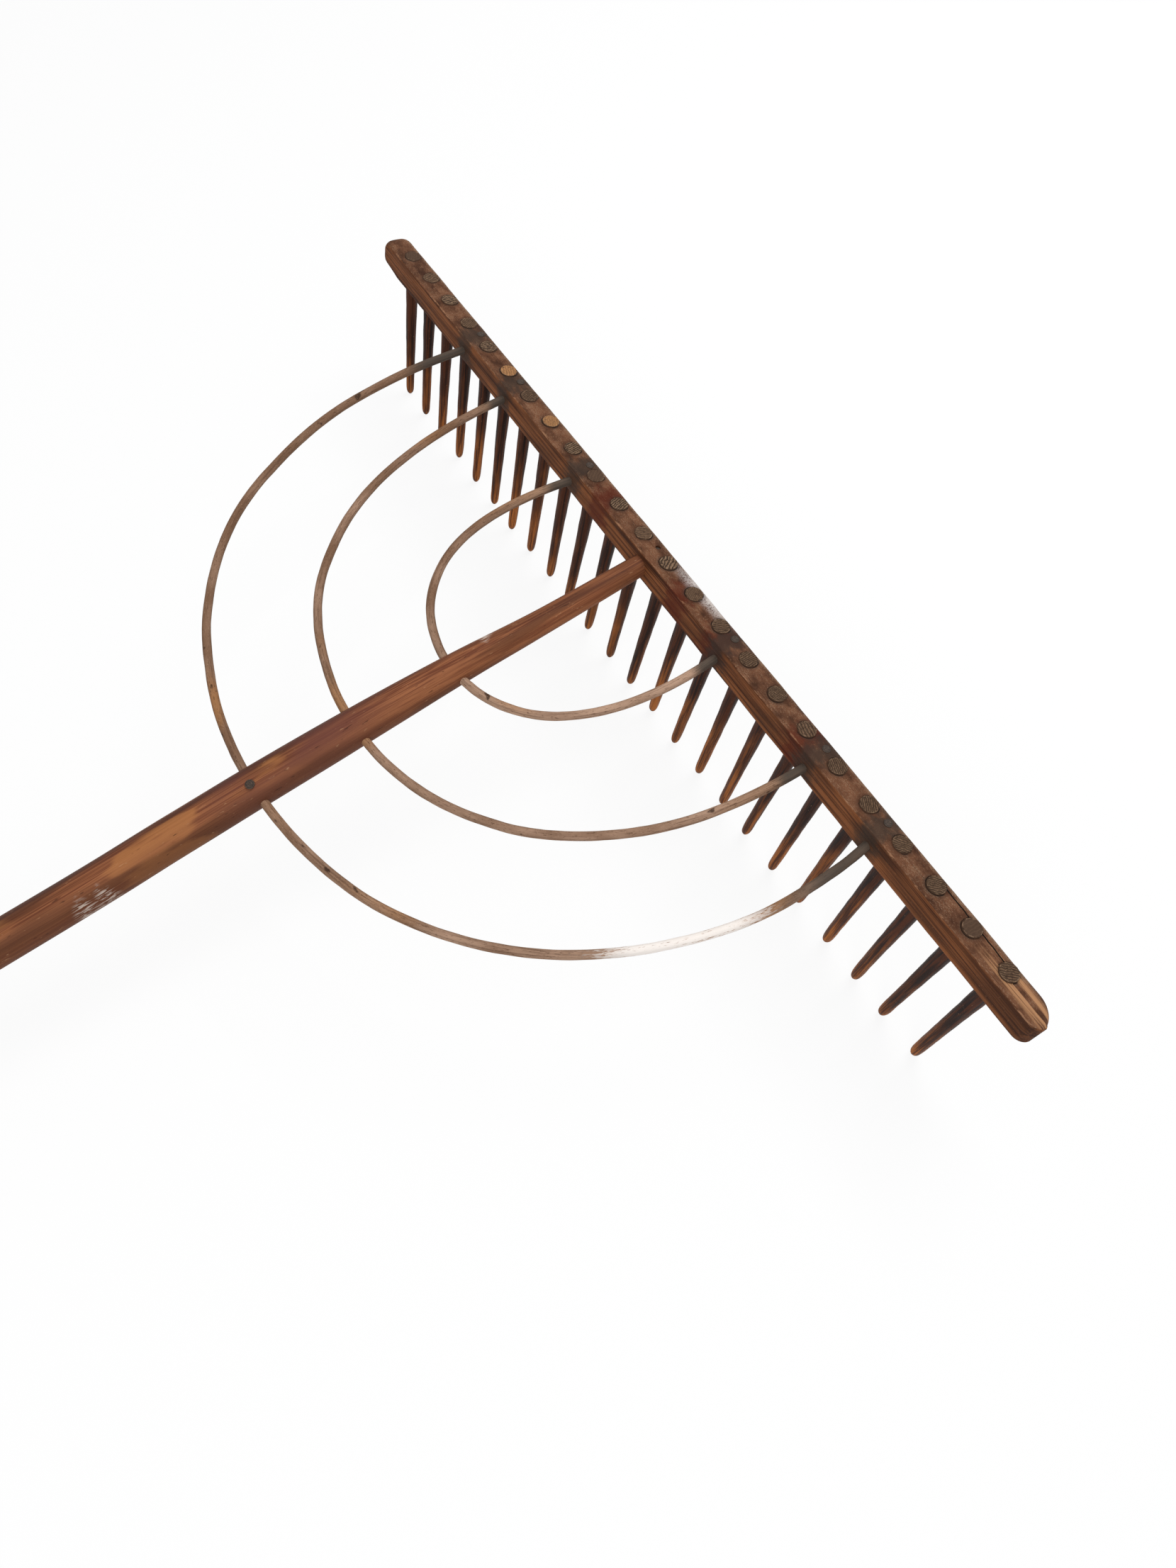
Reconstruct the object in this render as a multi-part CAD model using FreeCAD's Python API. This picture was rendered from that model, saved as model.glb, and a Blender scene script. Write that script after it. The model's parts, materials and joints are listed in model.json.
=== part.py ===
import FreeCAD
import Part
import math
import os

os.makedirs("parts", exist_ok=True)

# Wooden hay rake: a bar head with one row of pegged tines, a shaved handle let
# into the head, and three bent bows that brace the handle to the head.
#
# Everything is modelled in the head's frame first: X runs along the head, the
# tines hang down -Z, the handle leaves towards -Y, and z = 0 is the head's top
# face on the tine line. The whole rake is then tilted so that it lies as on
# flat ground, on its tine tips and the lower edge of the handle's butt.

# ---------------------------------------------------------------- dimensions
# Tines: pegs shaved to flats, driven down through the head from its top.
tine_count = 24
tine_side_count = 12
tine_pitch = 38.0
tine_length = 163.0
tine_top_diameter = 16.0
tine_root_diameter = 14.2
tine_tip_diameter = 9.8
tine_nose_length = 9.0
tine_nose_angle = 70.0
tine_nose_ring_count = 2
tine_stand_height = 0.9
tine_stand_extra_height = 0.4
tine_top_bevel = 0.4

# Head: a squared bar whose back top edge is planed well round.
head_overhang = 43.0
head_depth = 28.5
head_height = 26.0
front_top_radius = 1.2
front_bottom_radius = 3.0
back_bottom_radius = 3.0
back_top_radius = 11.0
bullet_plan_radius = 13.0
bullet_top_radius = 17.0
bullet_bottom_radius = 7.0
square_front_radius = 5.0
square_back_radius = 20.0
square_edge_radius = 2.0

# Handle: shaved to flats from the neck to the grip, which is turned. It lies in
# one plane with the bows, below square to the tines, a little askew in it.
handle_side_count = 24
handle_droop = 15.2
handle_skew = 1.05
handle_entry_depth = 15.0
handle_length = 1650.0
neck_diameter = 18.6
throat_diameter = 21.2
throat_distance = 85.0
shoulder_diameter = 28.4
shoulder_distance = 200.0
heel_diameter = 33.6
heel_distance = 320.0
grip_diameter = 34.4
grip_distance = 400.0
butt_round = 6.0
tenon_diameter = 14.0
tenon_length = 19.0
tenon_chamfer = 1.0

# Bows: bent rods, shaved to flats. The foot ratio is a foot's distance from the
# middle over the tine pitch. The reach is measured along the handle from the
# head's front face. The tilt is how far the rod is out of square at the handle,
# its left side out. Each half leaves its foot at a lean. The rise ratio is how
# long it holds that line, over the reach, and the hold ratio how long it holds
# the line at the handle, over the foot's distance from the middle.
bow_diameter = 7.5
bow_side_count = 8
bow_socket_depth = 20.0
inner_bow_foot_ratio = 2.95
inner_bow_reach = 182.0
inner_bow_tilt = 6.0
inner_bow_left_lean = 12.0
inner_bow_left_rise_ratio = 0.86
inner_bow_left_hold_ratio = 0.46
inner_bow_right_lean = 3.5
inner_bow_right_rise_ratio = 0.74
inner_bow_right_hold_ratio = 0.54
middle_bow_foot_ratio = 6.06
middle_bow_reach = 274.0
middle_bow_tilt = 2.5
middle_bow_left_lean = 3.5
middle_bow_left_rise_ratio = 0.77
middle_bow_left_hold_ratio = 0.48
middle_bow_right_lean = -0.5
middle_bow_right_rise_ratio = 0.62
middle_bow_right_hold_ratio = 0.57
outer_bow_foot_ratio = 8.08
outer_bow_reach = 366.0
outer_bow_tilt = 3.0
outer_bow_left_lean = 10.0
outer_bow_left_rise_ratio = 0.70
outer_bow_left_hold_ratio = 0.58
outer_bow_right_lean = 9.5
outer_bow_right_rise_ratio = 0.40
outer_bow_right_hold_ratio = 0.80

# Nails: cut nails with square shanks, one through each bow foot, one through
# the tenon, and one through the handle and the outer bow's nose.
nail_setback = 2.5
nail_head_side_count = 12
foot_nail_head = 7.0
foot_nail_shank = 2.6
foot_nail_length = 20.0
tenon_nail_head = 4.6
tenon_nail_shank = 2.2
tenon_nail_length = 16.0
tenon_nail_recess = 2.6
handle_nail_head = 7.6
handle_nail_shank = 2.8
handle_nail_length = 27.0
handle_nail_angle = 14.0
nail_head_height = 1.1
nail_head_bevel = 0.5
nail_point_length = 5.0
nail_point_width = 0.8

# Clearances between pieces that are driven or slipped together.
wood_clearance = 0.10
nail_clearance = 0.05
seat_clearance = 0.05

# ------------------------------------------------------------ derived sizes
tine_row_length = (tine_count - 1) * tine_pitch
head_length = tine_row_length + 2 * head_overhang
tine_radius = tine_top_diameter / 2
tine_root_radius = tine_root_diameter / 2
nose_radius = tine_tip_diameter / 2
nose_angle = math.radians(tine_nose_angle)
wedge_taper = (tine_radius - tine_root_radius) / head_height
bow_radius = bow_diameter / 2
grip_radius = grip_diameter / 2
front_face = -head_depth / 2
droop = math.radians(handle_droop)
cutter_margin = 5.0
bow_line_count = 200

# The frame of the bows: its origin is where the handle's axis crosses the
# head's front face, local Z runs straight out from the head in the plane of the
# bows, and local Y points up. The handle's own frame is turned by its skew, so
# that local Z runs out along the handle.
bow_frame = FreeCAD.Placement(
    FreeCAD.Vector(0, front_face, -handle_entry_depth),
    FreeCAD.Rotation(FreeCAD.Vector(1, 0, 0), 90 + handle_droop),
)
handle_frame = bow_frame.multiply(FreeCAD.Placement(
    FreeCAD.Vector(0, 0, 0),
    FreeCAD.Rotation(FreeCAD.Vector(0, 1, 0), handle_skew),
))


# ------------------------------------------------------------------ helpers
def on_plan(u, v):
    """A point of the head's plan outline."""
    return FreeCAD.Vector(u, v, -head_height / 2)


def on_side(u, v):
    """A point of the head's side outline."""
    return FreeCAD.Vector(u, 0, v - head_height / 2)


def on_section(u, v):
    """A point of the head's cross-section."""
    return FreeCAD.Vector(0, u, v - head_height / 2)


def rounded_rectangle(width, height, radii, place):
    """Closed wire; radii run anticlockwise from the low left corner."""
    corners = [(-1, -1), (1, -1), (1, 1), (-1, 1)]
    arcs = []
    for index, (side_u, side_v) in enumerate(corners):
        radius = radii[index]
        centre_u = side_u * (width / 2 - radius)
        centre_v = side_v * (height / 2 - radius)
        diagonal = radius * math.sqrt(0.5)
        on_upright = place(side_u * width / 2, centre_v)
        on_level = place(centre_u, side_v * height / 2)
        middle = place(centre_u + side_u * diagonal, centre_v + side_v * diagonal)
        if index % 2 == 0:
            arcs.append((on_upright, middle, on_level))
        else:
            arcs.append((on_level, middle, on_upright))
    edges = []
    for index, (start, middle, end) in enumerate(arcs):
        edges.append(Part.Arc(start, middle, end).toShape())
        next_start = arcs[(index + 1) % len(arcs)][0]
        edges.append(Part.LineSegment(end, next_start).toShape())
    return Part.Wire(Part.__sortEdges__(edges))


def centred_prism(wire, direction):
    """Solid of a wire's face, swept half a direction to each side of it."""
    face = Part.Face(wire)
    face.translate(direction * -0.5)
    return face.extrude(direction)


def turned(points):
    """Solid turned about Z from a closed profile of (radius, height) points."""
    places = [FreeCAD.Vector(radius, 0, height) for radius, height in points]
    face = Part.Face(Part.makePolygon(places + places[:1]))
    return face.revolve(FreeCAD.Vector(0, 0, 0), FreeCAD.Vector(0, 0, 1), 360)


def polygon_points(sides, radius, height):
    """Corners of a level regular polygon about Z, a flat facing each axis."""
    points = []
    for index in range(sides):
        angle = 2 * math.pi * (index + 0.5) / sides
        points.append(FreeCAD.Vector(radius * math.cos(angle), radius * math.sin(angle), height))
    return points


def shaved(sides, rings):
    """Solid about Z with flat sides, through (radius, height) rings."""
    loops = [polygon_points(sides, radius, height) for radius, height in rings]
    faces = [Part.Face(Part.makePolygon(loop + loop[:1])) for loop in (loops[0], loops[-1])]
    for upper, lower in zip(loops, loops[1:]):
        for index in range(sides):
            following = (index + 1) % sides
            corners = [upper[index], upper[following], lower[following], lower[index]]
            faces.append(Part.Face(Part.makePolygon(corners + corners[:1])))
    solid = Part.makeSolid(Part.makeShell(faces))
    if solid.Volume < 0:
        solid.reverse()
    return solid


def cut_all(shape, tools):
    """The shape with every tool taken out of it."""
    return shape.cut(Part.makeCompound(tools)).removeSplitter()


# -------------------------------------------------------------------- tines
def tine_x(index):
    """Place of a tine along the head, counted from 0 at the bullet end."""
    return index * tine_pitch - tine_row_length / 2


def nose_rings():
    """Rings of a tine's rounded point, from its shoulder down to its tip."""
    rings = []
    for step in range(tine_nose_ring_count + 1):
        angle = nose_angle * step / tine_nose_ring_count
        drop = tine_nose_length * math.sin(angle) / math.sin(nose_angle)
        rings.append((nose_radius * math.cos(angle), tine_nose_length - tine_length - drop))
    return rings


def tine_solid(stand):
    """Peg with a bevelled top, a wedging shank, a slim body and a point."""
    rings = [
        (tine_radius - tine_top_bevel, stand),
        (tine_radius, stand - tine_top_bevel),
        (tine_radius, 0),
        (tine_root_radius, -head_height),
    ]
    return shaved(tine_side_count, rings + nose_rings())


def tine_bore():
    """Tapered mortise that a tine wedges into, with its clearance."""
    top = tine_radius + wood_clearance + cutter_margin * wedge_taper
    bottom = tine_root_radius + wood_clearance - cutter_margin * wedge_taper
    rings = [(top, cutter_margin), (bottom, -head_height - cutter_margin)]
    return shaved(tine_side_count, rings)


# --------------------------------------------------------------------- bows
class BowHalf:
    """Half a bow in the frame of the bows: one smooth curve and its foot."""

    def __init__(self, side, spread, reach, tilt, lean, rise_ratio, hold_ratio):
        nose = FreeCAD.Vector(0, 0, reach)
        slope = math.radians(tilt)
        heading = FreeCAD.Vector(math.cos(slope), 0, -math.sin(slope)) * side
        outward = math.radians(lean)
        self.along = FreeCAD.Vector(side * math.sin(outward), 0, math.cos(outward))
        self.foot = FreeCAD.Vector(side * spread, 0, 0)
        self.end = self.foot - self.along * bow_socket_depth
        self.poles = [
            self.foot,
            self.foot + self.along * (rise_ratio * reach),
            nose + heading * (hold_ratio * spread),
            nose,
        ]

    def edges(self):
        """The straight foot and the curve, from the foot's end to the handle."""
        curve = Part.BezierCurve()
        curve.setPoles(self.poles)
        return [Part.LineSegment(self.end, self.foot).toShape(), curve.toShape()]

    def x_at(self, distance):
        """Sideways place of the foot's line at a distance along the handle."""
        return self.foot.x + distance * self.along.x / self.along.z

    def socket(self):
        """The round hole in the head."""
        depth = bow_socket_depth + wood_clearance
        start = self.foot - self.along * depth
        return Part.makeCylinder(bow_radius + wood_clearance, depth + cutter_margin, start, self.along)


class Bow:
    """One bent rod, through the handle and into the head at both its feet."""

    def __init__(self, name, foot_ratio, reach, tilt, left, right):
        self.name = name
        self.spread = foot_ratio * tine_pitch
        self.reach = reach
        self.left = BowHalf(-1, self.spread, reach, tilt, *left)
        self.right = BowHalf(1, self.spread, reach, tilt, *right)

    def line(self):
        """Points close together along the middle of the rod, left to right."""
        left = self.left.edges()[1].discretize(bow_line_count)
        right = self.right.edges()[1].discretize(bow_line_count)
        return left + right[::-1]

    def rod(self):
        """The rod in the frame of the bows, its feet sunk in their sockets."""
        path = Part.Wire(Part.__sortEdges__(self.left.edges() + self.right.edges()))
        turn = FreeCAD.Rotation(FreeCAD.Vector(0, 0, 1), self.left.along)
        flats = polygon_points(bow_side_count, bow_radius, 0)
        corners = [self.left.end + turn.multVec(point) for point in flats]
        section = Part.makePolygon(corners + corners[:1])
        return path.makePipeShell([section], True, False)

    def cross_bore(self):
        """The straight hole through the handle, wide enough for the bend."""
        middle = self.reach * math.tan(math.radians(handle_skew))
        half = handle_radius(self.reach)
        inside = [point for point in self.line() if abs(point.x - middle) < half]
        axis = (inside[-1] - inside[0]).normalize()
        square = FreeCAD.Vector(-axis.z, 0, axis.x)
        rises = [(point - inside[0]).dot(square) for point in inside]
        radius = bow_radius + wood_clearance + (max(rises) - min(rises)) / 2
        start = inside[0] + square * ((max(rises) + min(rises)) / 2) - axis * cutter_margin
        length = (inside[-1] - inside[0]).Length + 2 * cutter_margin
        return Part.makeCylinder(radius, length, start, axis)


bows = [
    Bow(
        "bow_inner", inner_bow_foot_ratio, inner_bow_reach, inner_bow_tilt,
        (inner_bow_left_lean, inner_bow_left_rise_ratio, inner_bow_left_hold_ratio),
        (inner_bow_right_lean, inner_bow_right_rise_ratio, inner_bow_right_hold_ratio),
    ),
    Bow(
        "bow_middle", middle_bow_foot_ratio, middle_bow_reach, middle_bow_tilt,
        (middle_bow_left_lean, middle_bow_left_rise_ratio, middle_bow_left_hold_ratio),
        (middle_bow_right_lean, middle_bow_right_rise_ratio, middle_bow_right_hold_ratio),
    ),
    Bow(
        "bow_outer", outer_bow_foot_ratio, outer_bow_reach, outer_bow_tilt,
        (outer_bow_left_lean, outer_bow_left_rise_ratio, outer_bow_left_hold_ratio),
        (outer_bow_right_lean, outer_bow_right_rise_ratio, outer_bow_right_hold_ratio),
    ),
]


# -------------------------------------------------------------------- nails
def nail_solid(head_diameter, shank_width, length):
    """Cut nail pointing down, the underside of its head at z = 0."""
    head = head_diameter / 2
    rim_height = nail_head_height - nail_head_bevel
    rings = [(head - nail_head_bevel, nail_head_height), (head, rim_height), (head, 0)]
    corner = shank_width * math.sqrt(0.5)
    shank = shaved(4, [
        (corner, rim_height),
        (corner, nail_point_length - length),
        (nail_point_width * math.sqrt(0.5), -length),
    ])
    return shaved(nail_head_side_count, rings).fuse(shank).removeSplitter()


def nail_bore(shank_width, length):
    """Hole for a nail's shank, from above its head's seat."""
    corner = (shank_width / 2 + nail_clearance) * math.sqrt(2)
    return shaved(4, [(corner, cutter_margin), (corner, -length - nail_clearance)])


def foot_nail_places():
    """Where the nails enter the head's top, two to a bow."""
    along_handle = (front_face - nail_setback) / math.cos(droop)
    places = []
    for bow in bows:
        for half in (bow.left, bow.right):
            places.append(FreeCAD.Vector(half.x_at(along_handle), nail_setback, 0))
    return places


tenon_nail_place = FreeCAD.Vector(0, nail_setback, -tenon_nail_recess)
lift = FreeCAD.Vector(0, 0, seat_clearance)

# The handle nail stands square on the grip, rolled round it from the top.
handle_nail_frame = handle_frame.multiply(FreeCAD.Placement(
    FreeCAD.Vector(0, 0, outer_bow_reach),
    FreeCAD.Rotation(FreeCAD.Vector(0, 0, 1), -handle_nail_angle),
)).multiply(FreeCAD.Placement(
    FreeCAD.Vector(0, grip_radius, 0),
    FreeCAD.Rotation(FreeCAD.Vector(1, 0, 0), -90),
))


# --------------------------------------------------------------------- head
def head_blank():
    """The bar before boring: section, plan and side outlines in common."""
    section = rounded_rectangle(
        head_depth,
        head_height,
        [front_bottom_radius, back_bottom_radius, back_top_radius, front_top_radius],
        on_section,
    )
    plan = rounded_rectangle(
        head_length,
        head_depth,
        [bullet_plan_radius, square_front_radius, square_back_radius, bullet_plan_radius],
        on_plan,
    )
    side = rounded_rectangle(
        head_length,
        head_height,
        [bullet_bottom_radius, square_edge_radius, square_edge_radius, bullet_top_radius],
        on_side,
    )
    bar = centred_prism(section, FreeCAD.Vector(head_length, 0, 0))
    plan_prism = centred_prism(plan, FreeCAD.Vector(0, 0, head_height + cutter_margin))
    side_prism = centred_prism(side, FreeCAD.Vector(0, head_depth + cutter_margin, 0))
    return bar.common(plan_prism).common(side_prism)


def tenon_bore():
    """Blind round mortise for the handle's tenon."""
    depth = tenon_length + wood_clearance
    return Part.makeCylinder(
        tenon_diameter / 2 + wood_clearance,
        depth + cutter_margin,
        FreeCAD.Vector(0, 0, -depth),
    )


def head_solid():
    """The head with its tine bores, bow sockets, mortise and nail holes."""
    tools = []
    for index in range(tine_count):
        tools.append(tine_bore().translated(FreeCAD.Vector(tine_x(index), 0, 0)))
    tools.append(tenon_bore().transformed(handle_frame.Matrix))
    for bow in bows:
        for half in (bow.left, bow.right):
            tools.append(half.socket().transformed(bow_frame.Matrix))
    for place in foot_nail_places():
        tools.append(nail_bore(foot_nail_shank, foot_nail_length).translated(place))
    tools.append(nail_bore(tenon_nail_shank, tenon_nail_length).translated(tenon_nail_place))
    recess_radius = tenon_nail_head / 2 + wood_clearance
    recess = shaved(nail_head_side_count, [
        (recess_radius, tenon_nail_recess + cutter_margin),
        (recess_radius, 0),
    ])
    tools.append(recess.translated(tenon_nail_place))
    return cut_all(head_blank(), tools)


# ------------------------------------------------------------------- handle
def handle_stations():
    """(radius, distance) of the shaved taper, from the neck to the grip."""
    return [
        (neck_diameter / 2, 0),
        (throat_diameter / 2, throat_distance),
        (shoulder_diameter / 2, shoulder_distance),
        (heel_diameter / 2, heel_distance),
        (grip_radius, grip_distance),
    ]


def handle_radius(distance):
    """The handle's radius at a distance from the head's front face."""
    stations = handle_stations()
    for (near, start), (far, end) in zip(stations, stations[1:]):
        if distance < end:
            return near + (far - near) * (distance - start) / (end - start)
    return grip_radius


def barrel_solid():
    """The handle, from inside the head's face to its eased butt."""
    start = -cutter_margin - neck_diameter / 2 * math.tan(droop)
    slack = butt_round * (1 - math.sqrt(0.5))
    grip = turned([
        (0, grip_distance),
        (grip_radius, grip_distance),
        (grip_radius, handle_length - butt_round),
        (grip_radius - slack, handle_length - slack),
        (grip_radius - butt_round, handle_length),
        (0, handle_length),
    ])
    taper = shaved(handle_side_count, [(neck_diameter / 2, start)] + handle_stations())
    return grip.fuse(taper)


def tenon_solid():
    """Round tenon, chamfered at its end and run on into the neck."""
    radius = tenon_diameter / 2
    return turned([
        (0, -tenon_length),
        (radius - tenon_chamfer, -tenon_length),
        (radius, tenon_chamfer - tenon_length),
        (radius, neck_diameter),
        (0, neck_diameter),
    ])


def handle_solid():
    """Handle with its neck coped to the head's front face."""
    cope = Part.makeBox(
        2 * neck_diameter,
        head_depth,
        2 * neck_diameter,
        FreeCAD.Vector(
            -neck_diameter,
            front_face - seat_clearance,
            -handle_entry_depth - neck_diameter,
        ),
    )
    barrel = barrel_solid().transformed(handle_frame.Matrix)
    handle = barrel.cut(cope).fuse(tenon_solid().transformed(handle_frame.Matrix))
    tools = [bow.cross_bore().transformed(bow_frame.Matrix) for bow in bows]
    tools.append(nail_bore(tenon_nail_shank, tenon_nail_length).translated(tenon_nail_place))
    handle_bore = nail_bore(handle_nail_shank, handle_nail_length)
    tools.append(handle_bore.transformed(handle_nail_frame.Matrix))
    return cut_all(handle, tools)


# ------------------------------------------------------------------ assembly
def bow_solid(bow):
    """A bow with the holes of the nails that pin it."""
    tools = []
    for place in foot_nail_places():
        tools.append(nail_bore(foot_nail_shank, foot_nail_length).translated(place))
    handle_bore = nail_bore(handle_nail_shank, handle_nail_length)
    tools.append(handle_bore.transformed(handle_nail_frame.Matrix))
    return cut_all(bow.rod().transformed(bow_frame.Matrix), tools)


def build_pieces():
    """Every piece in the head's frame, by node name."""
    pieces = {"head": head_solid(), "handle": handle_solid()}
    for index in range(tine_count):
        stand = tine_stand_height + tine_stand_extra_height * math.sin(index * index + 1)
        tine = tine_solid(stand).translated(FreeCAD.Vector(tine_x(index), 0, 0))
        pieces["tine_%02d" % (index + 1)] = tine
    for bow in bows:
        pieces[bow.name] = bow_solid(bow)
    foot_nail = nail_solid(foot_nail_head, foot_nail_shank, foot_nail_length)
    for number, place in enumerate(foot_nail_places(), 1):
        pieces["bow_nail_%d" % number] = foot_nail.translated(place + lift)
    tenon_nail = nail_solid(tenon_nail_head, tenon_nail_shank, tenon_nail_length)
    pieces["tenon_nail"] = tenon_nail.translated(tenon_nail_place + lift)
    handle_nail = nail_solid(handle_nail_head, handle_nail_shank, handle_nail_length)
    pieces["handle_nail"] = handle_nail.translated(lift).transformed(handle_nail_frame.Matrix)
    return pieces


def resting_tilt():
    """Turn about X, in degrees, that brings the tips and the butt level."""
    rim = FreeCAD.Vector(0, -grip_radius, handle_length - butt_round)
    butt = handle_frame.multVec(rim)
    tip_flat = nose_rings()[-1][0] * math.cos(math.pi / tine_side_count)
    return -math.degrees(math.atan2(-tine_length - butt.z, tip_flat - butt.y))


def ground_placement(shapes):
    """Placement that lays the rake down, centred on the origin."""
    tilt = FreeCAD.Placement(
        FreeCAD.Vector(0, 0, 0),
        FreeCAD.Rotation(FreeCAD.Vector(1, 0, 0), resting_tilt()),
    )
    laid = [shape.transformed(tilt.Matrix) for shape in shapes]
    box = Part.makeCompound(laid).optimalBoundingBox(False, False)
    shift = FreeCAD.Vector(-box.Center.x, -box.Center.y, -box.ZMin)
    return FreeCAD.Placement(shift, tilt.Rotation)


pieces = build_pieces()
placement = ground_placement(pieces.values())
for node, shape in pieces.items():
    shape.transformed(placement.Matrix).exportStep("parts/" + node + ".step")
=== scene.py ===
"""An old wooden hay rake: pegged bar head, shaved handle and three bent bows."""

import json
import logging
import math
from dataclasses import dataclass
from enum import Enum
from typing import Any, Callable, Sequence, Union

import bmesh
import bpy
from mathutils import Matrix, Vector, noise


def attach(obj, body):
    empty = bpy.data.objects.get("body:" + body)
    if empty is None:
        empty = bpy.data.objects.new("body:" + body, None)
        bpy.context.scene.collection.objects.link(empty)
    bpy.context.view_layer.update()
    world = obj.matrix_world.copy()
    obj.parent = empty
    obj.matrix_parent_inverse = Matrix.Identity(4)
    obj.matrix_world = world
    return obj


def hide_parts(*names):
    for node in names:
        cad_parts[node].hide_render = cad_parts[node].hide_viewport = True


log = logging.getLogger("hay_rake")

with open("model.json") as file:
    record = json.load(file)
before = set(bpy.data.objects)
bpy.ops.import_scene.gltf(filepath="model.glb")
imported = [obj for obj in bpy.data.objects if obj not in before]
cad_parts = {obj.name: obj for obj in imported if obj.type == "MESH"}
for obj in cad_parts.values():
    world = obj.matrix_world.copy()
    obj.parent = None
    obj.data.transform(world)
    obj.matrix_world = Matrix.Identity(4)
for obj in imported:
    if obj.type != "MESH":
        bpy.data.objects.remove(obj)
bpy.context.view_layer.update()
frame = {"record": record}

Colour = tuple[float, float, float]
Pairs = Sequence[tuple[float, float]]
Key = Union[int, str]
Plug = Union["Wire", float, int, bool, str, tuple, object]
Material, Mesh, Piece = bpy.types.Material, bpy.types.Mesh, bpy.types.Object
VECTOR = "FLOAT_VECTOR"


# ------------------------------------------------------------------- node kit
def math_method(operation: str, swapped: bool = False) -> Callable[["Wire", Plug], "Wire"]:
    """A method that adds one Math node on a wire and another value.

    Args:
        operation: What the node does.
        swapped: Whether the other value comes first.

    Returns:
        The method.
    """

    def method(self: "Wire", other: Plug) -> "Wire":
        """Both values in one Math node."""
        pair = (other, self) if swapped else (self, other)
        return self.sheet.add("ShaderNodeMath", {"operation": operation}, dict(enumerate(pair)))

    return method


class Wire:
    """One output of a node, which Python arithmetic turns into Math nodes."""

    __add__, __radd__ = math_method("ADD"), math_method("ADD", True)
    __sub__, __rsub__ = math_method("SUBTRACT"), math_method("SUBTRACT", True)
    __mul__, __rmul__ = math_method("MULTIPLY"), math_method("MULTIPLY", True)
    __truediv__ = math_method("DIVIDE")

    def __init__(self, sheet: "NodeSheet", socket: bpy.types.NodeSocket) -> None:
        """Keep the sheet that the wire belongs to, and its socket."""
        self.sheet = sheet
        self.socket = socket

    def __abs__(self) -> "Wire":
        """The size of this, without its sign."""
        return self.call("ABSOLUTE")

    def call(self, operation: str, *others: Plug) -> "Wire":
        """Any other Math operation on this, such as SINE or MAXIMUM."""
        return self.sheet.add("ShaderNodeMath", {"operation": operation}, dict(enumerate((self, *others))))


def opaque(colour: Plug) -> Plug:
    """A plain colour with its alpha; a wire stays as it is."""
    return (*colour, 1.0) if isinstance(colour, tuple) else colour


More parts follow.
